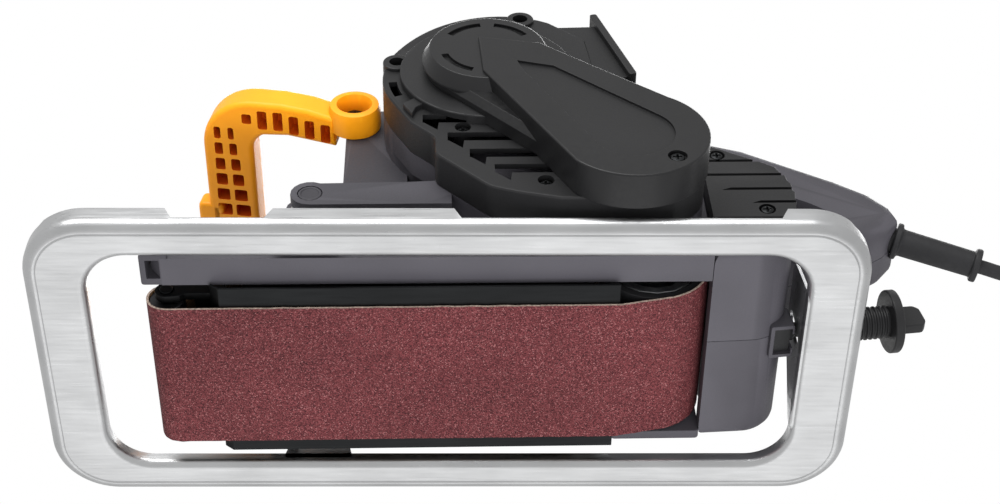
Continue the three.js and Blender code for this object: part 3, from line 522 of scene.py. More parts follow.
# ---------------------------------------------------------------- sanding frame
RIM = 26                 # width of the frame's short sides
NEAR_RIM, FAR_RIM = 17.5, 17
SHEET_THICK = 1.5
FRAME_TILT = 1           # degrees about the pivot, at rest
FRAME_BOTTOM = -1
CREASE = 0.35            # depth of the line pressed in beside the outer bend
TALL_TABS = [(-160, -106), (-64, 15), (152, 182)]     # where the near wall stands higher
LOW_GAPS = [(left[1], right[0]) for left, right in zip(TALL_TABS, TALL_TABS[1:])]
WALL, TAB_WALL, GAP_WALL = 10.5, 12, 5.2             # heights of the outer wall
OUTER_R, INNER_R = 28, 19                            # corner radii of the rim
STEP_HALF = 1.6                                      # half the length of a step between two heights


def wall_height(x, y, near):
    if y > near + 9:
        return WALL
    if any(start <= x <= end for start, end in TALL_TABS):
        return TAB_WALL
    if any(start < x < end for start, end in LOW_GAPS):
        return GAP_WALL
    return WALL


def frame_section(outer, inner, normal, height):
    """One cut through the pressed rim: outer wall, bend, flat, bend, inner wall, and back."""
    bend, inner_bend, thick, inner_wall = 4.5, 3.5, SHEET_THICK, 7
    quarter = [math.pi / 2 * k / 5 for k in range(6)]
    ring = [(outer, 0, height)]
    ring += [(outer, bend * (1 - math.cos(a)), bend * (1 - math.sin(a))) for a in quarter]
    ring += [(outer, bend + 0.5, 0), (outer, bend + 1.1, CREASE), (outer, bend + 1.7, 0)]
    ring += [(inner, -inner_bend * (1 - math.sin(a)), inner_bend * (1 - math.cos(a))) for a in quarter]
    ring += [(inner, 0, inner_wall), (inner, -thick, inner_wall)]
    small = inner_bend - thick
    ring += [(inner, -inner_bend + small * math.sin(a), inner_bend - small * math.cos(a))
             for a in reversed(quarter)]
    small = bend - thick
    ring += [(outer, bend - small * math.cos(a), bend - small * math.sin(a)) for a in reversed(quarter)]
    ring += [(outer, thick, height)]
    return [(p[0] + normal[0] * u, p[1] + normal[1] * u, FRAME_BOTTOM + z) for p, u, z in ring]


def frame_rim(front, rear, near, far):
    corners = [
        (rear, near, -90, -1, 1),
        (rear, far, 0, -1, -1),
        (front, far, 90, 1, -1),
        (front, near, 180, 1, 1),
    ]
    rim_y = {near: NEAR_RIM, far: FAR_RIM}
    sections = []
    for x, y, start, side_x, side_y in corners:
        outer_x, outer_y = x + side_x * OUTER_R, y + side_y * OUTER_R
        inner_x = x + side_x * (RIM + INNER_R)
        inner_y = y + side_y * (rim_y[y] + INNER_R)
        for k in range(17):
            a = math.radians(start + 90 * k / 16)
            out = (math.cos(a), math.sin(a))
            outer = (outer_x + OUTER_R * out[0], outer_y + OUTER_R * out[1])
            inner = (inner_x + INNER_R * out[0], inner_y + INNER_R * out[1])
            height = wall_height(*outer, near)
            sections.append(frame_section(outer, inner, (-out[0], -out[1]), height))
    for edge in sorted(edge for gap in LOW_GAPS for edge in gap):
        for x in (edge - STEP_HALF, edge + STEP_HALF):
            inner_x = min(max(x, front + RIM + INNER_R), rear - RIM - INNER_R)
            height = wall_height(x, near, near)
            sections.append(frame_section((x, near), (inner_x, near + NEAR_RIM), (0, 1), height))
    return stack("sanding_frame_sheet", sections, closed=True)


def add_sanding_frame():
    low, high = node_box("sanding_frame")
    tilt_shift = 0.6      # tilting the level frame carries its rim this far forward
    front, rear = low.x + tilt_shift, high.x + tilt_shift
    near, far = low.y, high.y
    rim = frame_rim(front, rear, near, far)
    foot = FRAME_BOTTOM + 4
    ear = arc(PIVOT.x, PIVOT.z, 7, 0, 180, 16) + [(PIVOT.x - 16, foot), (PIVOT.x + 16, foot)]
    ears = []
    for y in (near + NEAR_RIM - SHEET_THICK, far - FAR_RIM):
        lug = slab("ear", soften(ear, 2, 2), y, y + SHEET_THICK, 0.2, 0.2)
        ears.append(carve(lug, slab("hole", circle(PIVOT.x, PIVOT.z, 2.8, 24), y - 1, y + 3)))
    slot_r, slot_low, slot_high = 4, 13, 28
    outline = [(-45, FRAME_BOTTOM + 1), (34, FRAME_BOTTOM + 1), (34, 8), (2, 37), (-36, 37)]
    bracket = slab("bracket", soften(outline, 5), rear - RIM, rear - RIM + SHEET_THICK, 0.2, 0.2, "X")
    slot = arc(CLAMP.y, slot_high, slot_r, 0, 180, 10) + arc(CLAMP.y, slot_low, slot_r, 180, 360, 10)
    carve(bracket, slab("slot", slot, rear - RIM - 1, rear - RIM + 3, along="X"))
    gather(rim, *ears, bracket)
    tilt = Matrix.Translation(PIVOT * MM) @ Matrix.Rotation(math.radians(FRAME_TILT), 4, "Y")
    rim.data.transform(tilt @ Matrix.Translation(-PIVOT * MM))
    even = rim.modifiers.new("even", "WEIGHTED_NORMAL")
    even.keep_sharp = True
    sharpen(rim, 50)
    paint(rim, SHEET)
    hang(rim, "sanding_frame", "sanding_frame")


def sharpen(piece, angle):
    """Marks edges that turn by more than an angle, in degrees, as sharp."""
    shell = bmesh.new()
    shell.from_mesh(piece.data)
    for edge in shell.edges:
        if len(edge.link_faces) == 2:
            edge.smooth = edge.calc_face_angle(0) < math.radians(angle)
    shell.to_mesh(piece.data)
    shell.free()


# ---------------------------------------------------------------- sanding belt
def belt_loop():
    """The belt's outer line: along the sole, up to the drum, and back over the front roller."""
    thick, seat = 1, 0.3
    drum_low, drum_high = node_box("drum_rubber_lagging")
    drum_r = (drum_high.x - drum_low.x) / 2 + thick + seat
    roller_low, roller_high = node_box("front_roller")
    roller_r = (roller_high.x - roller_low.x) / 2 + thick + seat
    platen_end = node_box("platen_sheet")[1].x + 0.8
    reach = math.hypot(DRUM.x - platen_end, DRUM.z)
    rise = math.atan2(DRUM.z, DRUM.x - platen_end) - math.asin(drum_r / reach)
    span = math.hypot(DRUM.x - ROLLER.x, DRUM.z - ROLLER.z)
    slope = math.atan2(DRUM.z - ROLLER.z, DRUM.x - ROLLER.x) + math.asin((drum_r - roller_r) / span)
    top = math.degrees(slope) + 90
    corners = arc(DRUM.x, DRUM.z, drum_r, math.degrees(rise) - 90, top, 40)
    corners += arc(ROLLER.x, ROLLER.z, roller_r, top, 270, 24)
    return corners + [(platen_end, 0)]


def add_sanding_belt():
    corners = belt_loop()
    points = []
    for i, here in enumerate(corners):
        ahead = corners[(i + 1) % len(corners)]
        pieces = max(1, round(math.dist(here, ahead) / 2.5))
        points += [tuple(Vector(here).lerp(Vector(ahead), k / pieces)) for k in range(pieces)]
    inner = inset(points, 1.0)
    half = BELT_HIGH.y
    rings = []
    for i, ((x, z), (inner_x, inner_z)) in enumerate(zip(points, inner)):
        fray = [0.3 * noise.noise(Vector((i * 0.37, side * 9.1, 2.0))) for side in (1, -1)]
        near, far = -half - fray[0], half + fray[1]
        outer_row = [(x, y, z) for y in (near, near + 0.5, 0, far - 0.5, far)]
        inner_row = [(inner_x, y, inner_z) for y in (far, 0, near)]
        rings.append(outer_row + inner_row)
    belt = stack("belt_loop", rings, closed=True)
    paint(belt, GRIT)
    belt.data.materials.append(CLOTH)
    belt.data.materials.append(FRAY)
    for face in belt.data.polygons:
        middle = face.center / MM
        nearest = min(range(len(points)), key=lambda i: (Vector(points[i]) - middle.xz).length)
        outward = (Vector(points[nearest]) - Vector(inner[nearest])).normalized()
        if abs(face.normal.y) > 0.7:
            face.material_index = 2
        elif face.normal.xz.dot(outward) < 0.5:
            face.material_index = 1
    sharpen(belt, 50)
    hang(belt, "sanding_belt")


# ---------------------------------------------------------------- bow handle
def mirrored(points):
    return [(x, -y) for x, y in reversed(points)]


def add_front_handle():
    boss = Vector((-33, 0, 118))
    tilt_up = 10          # degrees the bow rises toward the front
    half_thick = 9
    outer = [(-8, -62.5), (-21, -66), (-34, -67.5), *arc(-47, -41.5, 26, -90, -180, 14), (-73, 0)]
    inner = [(-48.5, 0), (-48.5, -30), *arc(-39, -41, 9.5, 180, 245, 8), (-31, -50.5), (-8, -47)]
    outline = outer + mirrored(outer)[1:] + mirrored(inner) + inner[1:]
    bow = slab("bow_handle", outline, -half_thick, half_thick, 2.6, 6, "Z", 5)
    ledge = slab("ledge", soften([(-78.7, -7), (-66, -7), (-66, 7), (-78.7, 7)], 3), -9, 2, 2, 3, "Z")
    cells = bow_cells(1) + bow_cells(-1)
    cutters = [block("nose_way", -8, 30, -54.2, 54.2, -40, 40)]
    for side in (-1, 1):
        way = [(0, side * 50), (12, side * 50), (12, side * 70), (0, side * 70)]
        cutters.append(lathe("boss_way", way))
    for x0, x1, y0, y1 in cells:
        cell = soften([(x0, y0), (x1, y0), (x1, y1), (x0, y1)], 1.1, 3)
        cutters.append(slab("cell", cell, -half_thick - 1, 0, along="Z"))
    carve(bow, *cutters)
    paint(bow, ORANGE)
    # Faces inside the cells get the darker orange as painted shade in the recesses.
    bow.data.materials.append(ORANGE_PAINTED_SHADE)
    for face in bow.data.polygons:
        x, y, z = face.center / MM
        in_cell = any(x0 - 0.1 < x < x1 + 0.1 and y0 - 0.1 < y < y1 + 0.1
                      for x0, x1, y0, y1 in cells)
        if in_cell and -half_thick + 0.1 < z < 0.1:
            face.material_index = 1
    rings = []
    for side in (-1, 1):
        rim = [
            (2.8, 54.3), (11.8, 54.3), (12.2, 55), (12.4, 63), (11.4, 66.4), (9.4, 67), (8.4, 66.8),
            (7.2, 64), (6.2, 57), (2.8, 57),
        ]
        ring = lathe("boss", [(radius, side * along) for radius, along in rim], steps=64)
        ring.data.materials.append(ORANGE)
        rings.append(ring)
    ledge.data.materials.append(ORANGE)
    gather(bow, ledge, *rings)
    place = Matrix.Translation(boss * MM) @ Matrix.Rotation(math.radians(tilt_up), 4, "Y")
    bow.data.transform(place)
    crisp(bow, 0.3, 2, 40)
    hang(bow, "front_handle")


def bow_cells(side):
    """The x and y limits of the cells under the bow: two rows across, and one along each arm."""
    cells = []
    pitch = 8.9
    for row in range(6):
        y = 5 + pitch * row
        spread = row / 5
        for x0, x1 in ((-68.2, -61.2 - 2.6 * spread), (-59.2 - 2.2 * spread, -52 - 5.4 * spread)):
            cells.append((x0 + 1.2 * spread, x1, *sorted((side * (y - 3.3), side * (y + 3.3)))))
    for k in range(6):
        x = -12.5 - 7.6 * k
        lift = 4.5 * max(0, 1 - k / 3)
        shrink = 2.4 if k == 5 else 0
        ends = sorted((side * (53.5 - lift + shrink), side * (63.6 - lift - shrink)))
        cells.append((x - 2.3, x + 2.3, *ends))
    return cells


# ---------------------------------------------------------------- belt cover
ARM_END = (89, 34)
ARM_END_R = 33
CAP_R, CONE_R = 26, 30
TIER_R, TIER_END_R = 28, 25
TIER_Y, CAP_Y = -98, -103.5
COVER_SEAT = -88.3
COVER_WALL = 2.3
ARM_SCREW = (106, 15.5)


def tier_outline():
    lean = math.degrees(math.atan2(ARM_END[1] - MOTOR.z, ARM_END[0] - MOTOR.x))
    around_motor = arc(MOTOR.x, MOTOR.z, TIER_R, lean + 90, lean + 270, 36)
    return around_motor + arc(*ARM_END, TIER_END_R, lean - 90, lean + 90, 36)


def arc_slot(centre_x, centre_z, r_in, r_out, start, end, low, high):
    outer = arc(centre_x, centre_z, r_out, start, end, 12)
    return slab("slot", outer + arc(centre_x, centre_z, r_in, end, start, 12), low, high)


def add_belt_cover():
    """A sloped lower tier, the long arm on top of it, and the slotted cap over the motor."""
    arm_top = ARM_LOW.y
    cover = slab("belt_cover_shell", tier_outline(), TIER_Y, COVER_SEAT, 3, 0, steps=1)
    arm_points = [(25, 114.5), (53, 108.7), (76, 88.3)]
    outline = arm_points + arc(*ARM_END, ARM_END_R, 57, -141, 40) + [(26.5, 85.5)]
    arm = slab("arm", outline, arm_top, COVER_SEAT, 0.9, 0)
    unite(cover, arm)
    panel_r = 18
    panel = [(42, 93), (58, 88.2)] + arc(*ARM_END, panel_r, 48, -145, 30) + [(44.5, 84.5)]
    panel_floor = arm_top + 1.2
    tier_inside = inset(tier_outline(), COVER_WALL + 1.5)
    carve(
        cover,
        slab("panel", panel, arm_top - 1, panel_floor),
        slab("inside", inset(outline[::-1], COVER_WALL), arm_top + COVER_WALL, COVER_SEAT + 1),
        slab("tier_inside", tier_inside, TIER_Y + COVER_WALL, COVER_SEAT + 1),
        disk_way(),
        cap_way(),
        slab("screw_sink", circle(*ARM_SCREW, 4.1, 28), arm_top - 1, arm_top + 2.05),
        slab("screw_hole", circle(*ARM_SCREW, SCREW_HOLE_R, 16), arm_top, arm_top + 4),
    )
    paint(cover, DEEP_BLACK)
    cover.data.materials.append(BLACK)
    for face in cover.data.polygons:
        on_floor = abs(face.center.y / MM - panel_floor) < 0.05 and abs(face.normal.y) > 0.9
        face.material_index = 1 if on_floor else 0
    gather(cover, cover_cap())
    crisp(cover, 0.3, 2, 40)
    hang(cover, "belt_cover")


def cover_cap():
    """The cone and slotted disk over the motor's end."""
    profile = [
        (CONE_R - 0.3, TIER_Y + 2), (CONE_R - 0.3, TIER_Y + 0.3), (CAP_R + 0.5, CAP_Y + 0.3),
        (CAP_R - 0.2, CAP_Y),
    ]
    rings = [[(x, y, z) for x, z in circle(MOTOR.x, MOTOR.z, r, 72)] for r, y in profile]
    cap = stack("cap", rings)
    carve(cap, cap_way())
    for start, end in ((98, 146), (32, 80), (196, 250)):
        slot = arc_slot(MOTOR.x, MOTOR.z, 18.6, 21.8, start, end, CAP_Y - 1, CAP_Y + 1.6)
        carve(cap, slot)
    cap.data.materials.clear()
    cap.data.materials.append(DEEP_BLACK)
    return cap


def cap_way():
    """Room for the motor's pulley and the end of its shaft."""
    hollow = circle(MOTOR.x, MOTOR.z, CAP_R - COVER_WALL)
    return slab("cap_way", hollow, CAP_Y + COVER_WALL, COVER_SEAT + 1)


def disk_way():
    """Room for the raised disk of the side cover."""
    return slab("disk_way", circle(MOTOR.x, MOTOR.z, DISK_R + 0.3, 72), DISK_Y - 0.3, COVER_SEAT + 1)


# ---------------------------------------------------------------- screws
SCREW_HOLE_R = 1.7


def cross_screw(node, x, z, head_y, side, radius, length):
    """A pan head screw along Y. The head faces a side, -1 or +1, and its cross recess is cut."""
    profile = [
        (0, 0), (radius * 0.55, 0), (radius * 0.9, 0.35), (radius, 1.0), (radius, 2.1),
        (1.4, 2.1), (1.4, length), (0, length),
    ]
    screw = lathe(node + "_head", [(r, head_y - side * along) for r, along in profile], (x, 0, z), 32)
    reach, half_slot = radius * 0.6, 0.42
    low, high = sorted((head_y + side * 1, head_y - side * 1.3))
    cross = []
    for half_x, half_z in ((reach, half_slot), (half_slot, reach)):
        corners = ((-half_x, -half_z), (half_x, -half_z), (half_x, half_z), (-half_x, half_z))
        cross.append(slab("cross", [(x + u, z + w) for u, w in corners], low, high))
    carve(screw, *cross)
    crisp(screw, 0.08, 1, 40)
    paint(screw, BLUED)
    hang(screw, node)


def add_screws():
    """Each screw's place is the middle of its own CAD node, with its head at the node's open end."""
    for node, side, radius in (
        ("side_cover_screw_1", -1, 3), ("side_cover_screw_2", -1, 3),
        ("side_cover_tab_screw_1", -1, 3), ("side_cover_tab_screw_2", -1, 3),
        ("rear_panel_screw_1", -1, 3), ("rear_panel_screw_2", -1, 3),
        ("handle_screw_left", -1, 5), ("handle_screw_right", 1, 5),
        ("frame_pivot_screw_right", 1, 5.2),
    ):
        low, high = node_box(node)
        head = low.y if side < 0 else high.y
        x, z = middles(node)[0].xz
        cross_screw(node, x, z, head, side, radius, high.y - low.y)
    head = node_box("belt_cover_screw")[1].y - 3.2
    cross_screw("belt_cover_screw", *ARM_SCREW, head, -1, 3.2, 3)
    low, high = node_box("frame_pivot_screw_left")
    profile = [
        (0, 0.5), (3.7, 0.5), (4.1, 0), (4.9, 0), (5.2, 0.3), (5.2, 2.4), (2.6, 2.4),
        (2.6, high.y - low.y), (0, high.y - low.y),
    ]
    cap = lathe("pivot_cap", [(r, low.y + along) for r, along in profile], (PIVOT.x, 0, PIVOT.z), 48)
    crisp(cap, 0.1, 1, 40)
    paint(cap, PAINTED)
    hang(cap, "frame_pivot_screw_left")


# ---------------------------------------------------------------- rear side panel
def add_rear_panel():
    low, high = node_box("rear_side_panel")
    left, groove_half = low.x, 0.9
    scallops = [
        (152, 64.4), (157, 60.6), (158.6, 56.6), (160.4, 54.4), (161, 50), (162.2, 47.6),
        (162.2, 43.4), (163, 41), (162.4, 36.6), (162.6, 34), (161.2, 28), (159.5, 23),
    ]
    outline = [(left, 80.5), (128, 79), *scallops, (left, 23)]
    panel = slab("rear_panel_shell", outline, low.y, high.y, 0.4, 0.2)
    grooves = []
    for z, start in ((66, 118), (55, 118), (44, 131), (34, 143)):
        bottom, top = z - groove_half, z + groove_half
        groove = [(start, bottom), (170, bottom), (170, top), (start + 4, top)]
        grooves.append(slab("groove", groove, low.y - 1, low.y + 1.3))
    for screw in middles("rear_panel_screw_1", "rear_panel_screw_2"):
        x, z = screw.xz
        grooves.append(slab("sink", circle(x, z, 3.7, 28), low.y - 1, low.y + 2.5))
        grooves.append(slab("hole", circle(x, z, SCREW_HOLE_R, 16), low.y, high.y + 1))
    carve(panel, *grooves)
    crisp(panel, 0.3)
    paint(panel, BLACK)
    hang(panel, "rear_side_panel")


# ---------------------------------------------------------------- cord, boot and clamp screw
CORD_EXIT = Vector((221, -15, 76))
CORD_AIM = Vector((0.93, 0.13, -0.34)).normalized()
CLAMP_FRAME = Matrix.Translation(CLAMP * MM) @ Matrix.Rotation(math.radians(-6.5), 4, "Y")
ALONG_X = Matrix.Rotation(-math.pi / 2, 4, "Z")      # turns a lathe's own axis onto +X


def along_cord():
    return Vector((0, 1, 0)).rotation_difference(CORD_AIM).to_matrix().to_4x4()


def add_cord():
    collar = [(3.8, -10), (6.0, -10), (6.0, 0), (8.2, 0), (8.7, 0.5), (8.7, 2.2), (8.2, 2.7)]
    neck = [(7.0, 3.0), (6.6, 3.5)]
    taper = [(6.5 - 0.3 * k / 6, 4 + 5.5 * k) for k in range(7)]
    end_ring = [(6.4, 37.6), (7.6, 38), (8.0, 38.6), (8.0, 40.4), (7.6, 41), (3.8, 41)]
    boot = lathe("strain_boot", collar + neck + taper + end_ring, CORD_EXIT, 48, along_cord())
    crisp(boot, 0.2)
    paint(boot, RUBBER)
    hang(boot, "cord_boot")
    inside = [CORD_EXIT + CORD_AIM * d for d in (-26, -8, 20, 42)]
    cord = tube("cord_stub", inside + [Vector((276, -6, 58.5)), Vector((300, -4, 57))], 3.4)
    paint(cord, RUBBER)
    hang(cord, "power_cord")


def tip_way():
    """Room for the clamp screw's tip, in the clamp's own frame."""
    return lathe("tip_way", [(0, -15), (4.2, -15), (4.2, -7), (0, -7)], steps=32, turn=ALONG_X)


def add_clamp_screw():
    """A smooth shank, a ribbed collar, a flange and a thumb wing, along the clamp's own axis."""
    ribs = []
    rib_pitch, first_rib = 2.35, 18.4
    for k in range(12):
        start = first_rib + rib_pitch * k
        ribs += [(6.6, start), (6.7, start + 0.5), (7.5, start + 0.9)]
        ribs += [(7.5, start + 1.6), (6.7, start + 2.0)]
    profile = [(0, -5), (2.8, -5), (3.4, -4), (3.4, 17.2), (6.6, 17.2), *ribs, (6.8, 46.6)]
    profile += [(13.9, 46.6), (14.35, 47.1), (14.35, 50.3), (13.9, 50.8), (0, 50.8)]
    knob = lathe("clamp_knob", profile, turn=CLAMP_FRAME @ ALONG_X)
    wing_outline = [(49, -7), (61.5, -7), (63.5, -4.2), (63.2, 4.6), (60.6, 7), (49, 7)]
    wing = slab("wing", soften(wing_outline, 1, 2), -2.6, 2.6, 0.9, 0.9)
    wing.data.transform(CLAMP_FRAME)
    unite(knob, wing)
    crisp(knob, 0.2, 2, 40)
    paint(knob, BLACK)
    hang(knob, "clamp_screw", "clamp_screw")


# ---------------------------------------------------------------- side cover
COVER_FACE, COVER_BACK = -88, -72
COVER_SKIN = 2.5
DISK_R, DISK_Y = 40, -92
LOUVRES = [(-0.5, 71.5, 34), (10.5, 57, 50), (20, 44, 60), (30.5, 32, 66)]     # x from, z, x to
LOUVRE_HALF = 3.2


def scroll():
    """The fan scroll: the motor's radius at the left, growing toward the dust duct."""
    points = []
    for k in range(31):
        angle = 208 - 5 * k
        share = min(1, max(0, (150 - angle) / 90))
        r = 48 + 10 * share * share * (3 - 2 * share)
        turn = math.radians(angle)
        points.append((MOTOR.x + r * math.cos(turn), MOTOR.z + r * math.sin(turn)))
    return points


def drive_outline():
    foot = soften([(58, 10), (40, 14.5), (28, 19), (5, 44), (5, 57), (-6, 69)], 3, 3, ends=False)
    return [*scroll(), (76, 140), (80, 98), (108, 62), *arc(96, 34, 25, 30, -70, 24), *foot]


def add_side_cover():
    outline = drive_outline()
    cover = slab("side_cover_shell", outline, COVER_FACE, COVER_BACK, 1.2, 0.2)
    flange = [(79.5, 160), (83, 160.8), (98, 106), (94.5, 105)]
    duct = [(56, 153), (82.5, 154), (95, 108), (74, 100)]
    hook = [(-9.5, 80.5), (-1.5, 88), (3, 83.5), (-3.5, 77.5), (-5, 72)]
    disk = slab("disk", circle(MOTOR.x, MOTOR.z, DISK_R, 96), DISK_Y, COVER_FACE + 1, 0.8, 0)
    screws = middles(
        "side_cover_screw_1", "side_cover_screw_2", "side_cover_tab_screw_1", "side_cover_tab_screw_2",
    )
    tabs = [slab("tab", circle(p.x, p.z, 6.5, 32), -89.6, COVER_BACK, 0.6, 0.2) for p in screws[2:]]
    unite(
        cover, disk, *tabs,
        slab("duct", duct, -87, COVER_BACK, 1, 0.2),
        slab("flange", soften(flange, 1.2, 2), -90, -62, 0.5, 0.5),
        slab("hook", soften(hook, 1, 2), -90.4, -87, 0.5, 0),
    )
    skin = COVER_SKIN
    past_skin = COVER_FACE + skin + 1
    cutters = [
        slab("inside", inset(outline[::-1], skin), COVER_FACE + skin, COVER_BACK + 1),
        slab("disk_inside", circle(MOTOR.x, MOTOR.z, DISK_R - skin, 64), DISK_Y + skin, past_skin),
        slab("duct_way", [(60, 148), (90, 156), (100, 112), (70, 108)], -84.5, COVER_BACK - 2.5),
        arc_slot(MOTOR.x, MOTOR.z, 41.6, 45.4, 186, 202, COVER_FACE - 3, COVER_FACE + 4),
        slab("motor_hole", circle(MOTOR.x, MOTOR.z, 5.5, 24), DISK_Y - 1, COVER_FACE + 6),
        slab("drum_hole", circle(DRUM.x, DRUM.z, 7, 24), COVER_FACE - 1, COVER_FACE + 6),
    ]
    for x0, z, x1 in LOUVRES:
        cutters.append(block("louvre", x0, x1, COVER_FACE - 1, past_skin, z - LOUVRE_HALF, z + LOUVRE_HALF))
        step = [(x0 + 0.4, z - 3), (x0 + 7.2, z - 3), (x0 + 6.6, z - 9)]
        cutters.append(slab("step", step, COVER_FACE - 1, past_skin))
    carve(cover, *cutters)
    posts = [slab("post", circle(p.x, p.z, 4.4, 24), COVER_FACE + 1, COVER_BACK) for p in screws]
    unite(cover, *posts)
    holes = [slab("hole", circle(p.x, p.z, SCREW_HOLE_R, 16), -93, COVER_BACK + 1) for p in screws]
    holes += [slab("sink", circle(p.x, p.z, 3.6, 32), -93, COVER_FACE + 4) for p in screws]
    carve(cover, *holes)
    crisp(cover, 0.25, 2, 30)
    paint(cover, BLACK)
    hang(cover, "side_cover")


# ---------------------------------------------------------------- rear housing
MID_Y = -12
BODY_R = 48.4                    # of the motor's barrel, where the rear halves meet it
NEAR_WALL, FAR_WALL = -59.7, 45
DRUM_WAY = (-45.7, 46)
HAND_HOLE = [
    (113.5, 99), (116, 112), (124, 117), (140.5, 111.5), (181.5, 85.5), (190.5, 77.5), (188, 72),
    (166, 63), (153, 67), (114, 90),
]
LOWER_REAR = [(124.3, 6), (143, 7), *arc(143, 25, 18, -80, 0, 14), (164.5, 46), (162, 58)]


def wide_outline():
    return [
        *arc(MOTOR.x, MOTOR.z, BODY_R, 14, -40, 20), (68, 61.8), (124.3, 61.8), *LOWER_REAR,
        (152, 65), (113, 89), (108, 98), (92, 116),
    ]


def handle_outline():
    grip = [
        (124, 74), (150, 56), (163.4, 44), (205, 60), (214, 66.5), (221.5, 76), (219.5, 84),
        (211, 95.5), (197, 106.5), (156, 133.5),
    ]
    return [*arc(MOTOR.x, MOTOR.z, BODY_R, 42, 0, 14), *grip, (122, 147), (80, 150), (63, 148)]


def between(name, outline, side, inner, outer, edge=0.0):
    """A slab from a plane near the seam out to one side, with only its outer edge rounded."""
    if side < 0:
        return slab(name, outline, outer, inner, edge, 0, steps=4)
    return slab(name, outline, inner, outer, 0, edge, steps=4)


def rear_cutters():
    """The ways for the drum, trigger, cord boot, clamp nut, speed dial and lock button."""
    trigger_way = block("trigger_way", -21, 21, MID_Y - 8.3, MID_Y + 8.3, -6, 4)
    lean = Matrix.Rotation(math.radians(32.4), 4, "Y")
    trigger_way.data.transform(Matrix.Translation(Vector((150, 0, 105.5)) * MM) @ lean)
    recess = [
        block("nut_way", -7.5, 0.6, -7, 7, -6.3, 6.3),
        block("neck_way", 0, 12, -4, 4, -6.3, 6.3),
        tip_way(),
    ]
    for way in recess:
        way.data.transform(CLAMP_FRAME)
    boot_way = lathe("boot_way", [(0, -14), (6.7, -14), (6.7, 3), (0, 3)], CORD_EXIT, 40, along_cord())
    dial, lock = middles("speed_dial", "lock_button")
    return [
        slab("drum_way", circle(DRUM.x, DRUM.z, 27.3, 64), *DRUM_WAY),
        trigger_way, *recess, boot_way,
        block("dial_way", dial.x - 13, dial.x + 13, MID_Y - 4.5, MID_Y + 4.5, 135, 152),
        slab("lock_way", circle(lock.x, lock.z, 4.15, 24), -32, -20),
    ]


def add_rear_half(side, node):
    """One half of the rear housing. The right half's grip comes out solid, which is a known fault."""
    skin = 3.5
    wall_out = NEAR_WALL if side < 0 else FAR_WALL
    grip_out = MID_Y + side * 18
    seam = MID_Y + side * 0.15
    wide, grip = wide_outline(), handle_outline()
    half = between(node + "_shell", wide, side, seam, wall_out, 5)
    unite(half, between("grip", grip, side, seam, grip_out, 6))
    cutters = [
        between("wide_inside", inset(ordered(wide), skin), side, seam - side, wall_out - side * skin, 2),
        between("grip_inside", inset(ordered(grip), skin), side, seam - side, grip_out - side * skin, 3),
    ]
    rim = inset(ordered(HAND_HOLE), -skin)
    for cutter in cutters:
        carve(cutter, between("keep_rim", rim, side, seam - 2 * side, grip_out + side))
        carve(cutter, slab("keep_drum", circle(DRUM.x, DRUM.z, 30.5, 64), *DRUM_WAY))
        carve(cutter, block("keep_clamp", 140, 166, -22, 2, 6, 30))
    carve(half, *cutters)
    hand_way = between("hand_way", soften(ordered(HAND_HOLE), 3), side, seam - side, wall_out + side)
    carve(half, hand_way, *rear_cutters())
    crisp(half, 0.3, 2, 35)
    paint(half, GREY)
    hang(half, node)


def ordered(points):
    return points if signed_area(points) > 0 else points[::-1]


def add_tension_spring():
    """A coil squeezed between its seat in the belt frame and the collar on the tension rod."""
    low, high = node_box("tension_spring")
    middle = (low + high) / 2
    wire_r, turns, steps_a_turn = 0.75, 6, 24
    coil_r = (high.z - low.z) / 2 - wire_r
    start, length = low.x + wire_r, high.x - low.x - 2 * wire_r
    rings = []
    for k in range(turns * steps_a_turn + 1):
        a = math.tau * k / steps_a_turn
        x = start + length * k / (turns * steps_a_turn)
        ring = []
        for section in range(8):
            b = math.tau * section / 8
            r = coil_r + wire_r * math.cos(b)
            ring.append((x + wire_r * math.sin(b), r * math.sin(a), middle.z + r * math.cos(a)))
        rings.append(ring)
    spring = stack("coil_spring", rings)
    paint(spring, STEEL)
    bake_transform(spring)
    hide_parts("tension_spring")


def add_clamp_nut():
    """A square nut with a turned collar, seen in the open side of its pocket."""
    nut = block("clamp_nut_body", -7.1, 0.2, -6.6, 6.6, -5.9, 5.9)
    collar = [(0, 0), (4.6, 0), (4.6, 2.2), (3.9, 3), (0, 3)]
    unite(nut, lathe("collar", collar, steps=40, turn=ALONG_X))
    carve(nut, lathe("bore", [(0, -9), (3.6, -9), (3.6, 5), (0, 5)], steps=32, turn=ALONG_X))
    nut.data.transform(CLAMP_FRAME)
    crisp(nut, 0.35)
    paint(nut, BLACK)
    hang(nut, "clamp_nut")


def add_clamp_pocket():
    """The open-sided walls that the housing carries around the clamp nut."""
    front, rear, half_width = -9.3, 1.4, 8.8
    outline = [(front, -half_width), (rear, -half_width), (rear, half_width), (front, half_width)]
    walls = slab("clamp_pocket", soften(outline, 1), -8, 5, 0.4, 0.2, "Z")
    way = [(-7.5, -7), (0.6, -7), (0.6, -4), (4, -4), (4, 4), (0.6, 4), (0.6, 7), (-7.5, 7)]
    carve(walls, slab("way", way, -9, 6, along="Z"), tip_way())
    walls.data.transform(CLAMP_FRAME)
    crisp(walls, 0.25)
    paint(walls, GREY)
    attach(walls, HOUSING)


def add_drum_guard():
    """The low far wall that carries the housing's line forward beside the drum."""
    outline = [(84, 5), (124.5, 5), (124.5, 40), (118, 40), (104, 22), (84, 14)]
    guard = slab("drum_guard", soften(outline, 2), 40, 45, 0.5, 1.2)
    crisp(guard, 0.3)
    paint(guard, GREY)
    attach(guard, HOUSING)


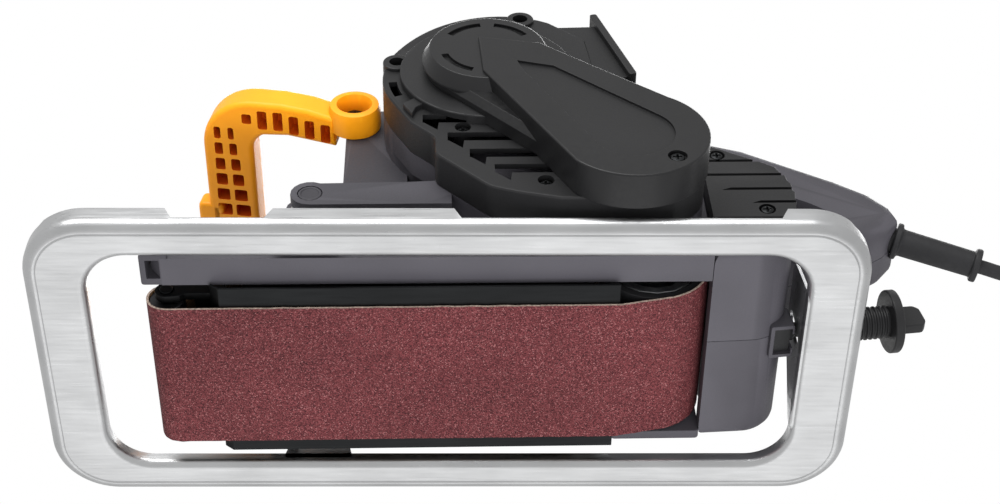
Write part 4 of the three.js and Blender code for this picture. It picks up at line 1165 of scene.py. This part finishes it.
def add_front_guard():
    """The small open loop at the front corner of the housing, beside the front roller."""
    outline = [(-121, -62), (-109, -62), (-109, -46), (-121, -46)]
    guard = slab("front_guard", soften(outline, 1.5), 7, 22, 0.6, 0.6, "Z")
    way = [(-118.4, -59), (-112.6, -59), (-112.6, -49.5), (-118.4, -49.5)]
    carve(guard, slab("way", way, 6, 23, along="Z"))
    crisp(guard, 0.3)
    paint(guard, GREY)
    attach(guard, HOUSING)


# ---------------------------------------------------------------- camera and light
def add_camera():
    """Below the machine and a little to the drive side, as a hand would hold it up to look."""
    data = bpy.data.cameras.new("camera")
    data.lens = 66.56
    data.sensor_width = 36
    data.clip_start = 0.05
    camera = bpy.data.objects.new("camera", data)
    camera.location = Vector((8.7, -533.4, -620.7)) * MM
    camera.rotation_euler = [math.radians(a) for a in (143.097, 1.696, -0.602)]
    bpy.context.scene.collection.objects.link(camera)
    bpy.context.scene.camera = camera


def add_light(name, place, target, size, watts, in_reflections=True):
    data = bpy.data.lights.new(name, "AREA")
    data.shape = "RECTANGLE"
    data.size, data.size_y = size
    data.energy = watts
    lamp = bpy.data.objects.new(name, data)
    lamp.location = place
    lamp.rotation_euler = (Vector(target) - Vector(place)).to_track_quat("-Z", "Y").to_euler()
    lamp.visible_camera = False
    lamp.visible_glossy = in_reflections
    bpy.context.scene.collection.objects.link(lamp)


def add_studio():
    world = bpy.data.worlds.new("studio")
    world.use_nodes = True
    nodes = world.node_tree.nodes
    path = nodes.new("ShaderNodeLightPath")
    strength = nodes.new("ShaderNodeMapRange")
    strength.inputs["To Min"].default_value = 0.72
    strength.inputs["To Max"].default_value = 1.0
    nodes["Background"].inputs["Color"].default_value = (1, 1, 1, 1)
    world.node_tree.links.new(path.outputs["Is Camera Ray"], strength.inputs["Value"])
    world.node_tree.links.new(strength.outputs["Result"], nodes["Background"].inputs["Strength"])
    bpy.context.scene.world = world
    bpy.context.scene.view_settings.view_transform = "Standard"
    centre = (0.02, 0.0, 0.06)
    add_light("drive_side_softbox", (-0.25, -1.3, 0.35), centre, (1.2, 0.8), 18)
    add_light("below_softbox", (0.3, -0.3, -1.3), centre, (1.0, 1.0), 28, in_reflections=False)
    add_light("reflected_card", (0.05, 0.95, -1.3), centre, (1.8, 1.2), 5)
    add_light("top_softbox", (0.3, 0.5, 1.5), centre, (1.4, 1.0), 20)


dress_cad_nodes()
add_sanding_frame()
add_sanding_belt()
add_front_handle()
add_belt_cover()
add_rear_panel()
add_cord()
add_clamp_screw()
add_screws()
add_clamp_nut()
add_clamp_pocket()
add_front_guard()
add_drum_guard()
add_tension_spring()
add_side_cover()
add_rear_half(-1, "rear_housing_left")
add_rear_half(1, "rear_housing_right")
add_camera()
add_studio()
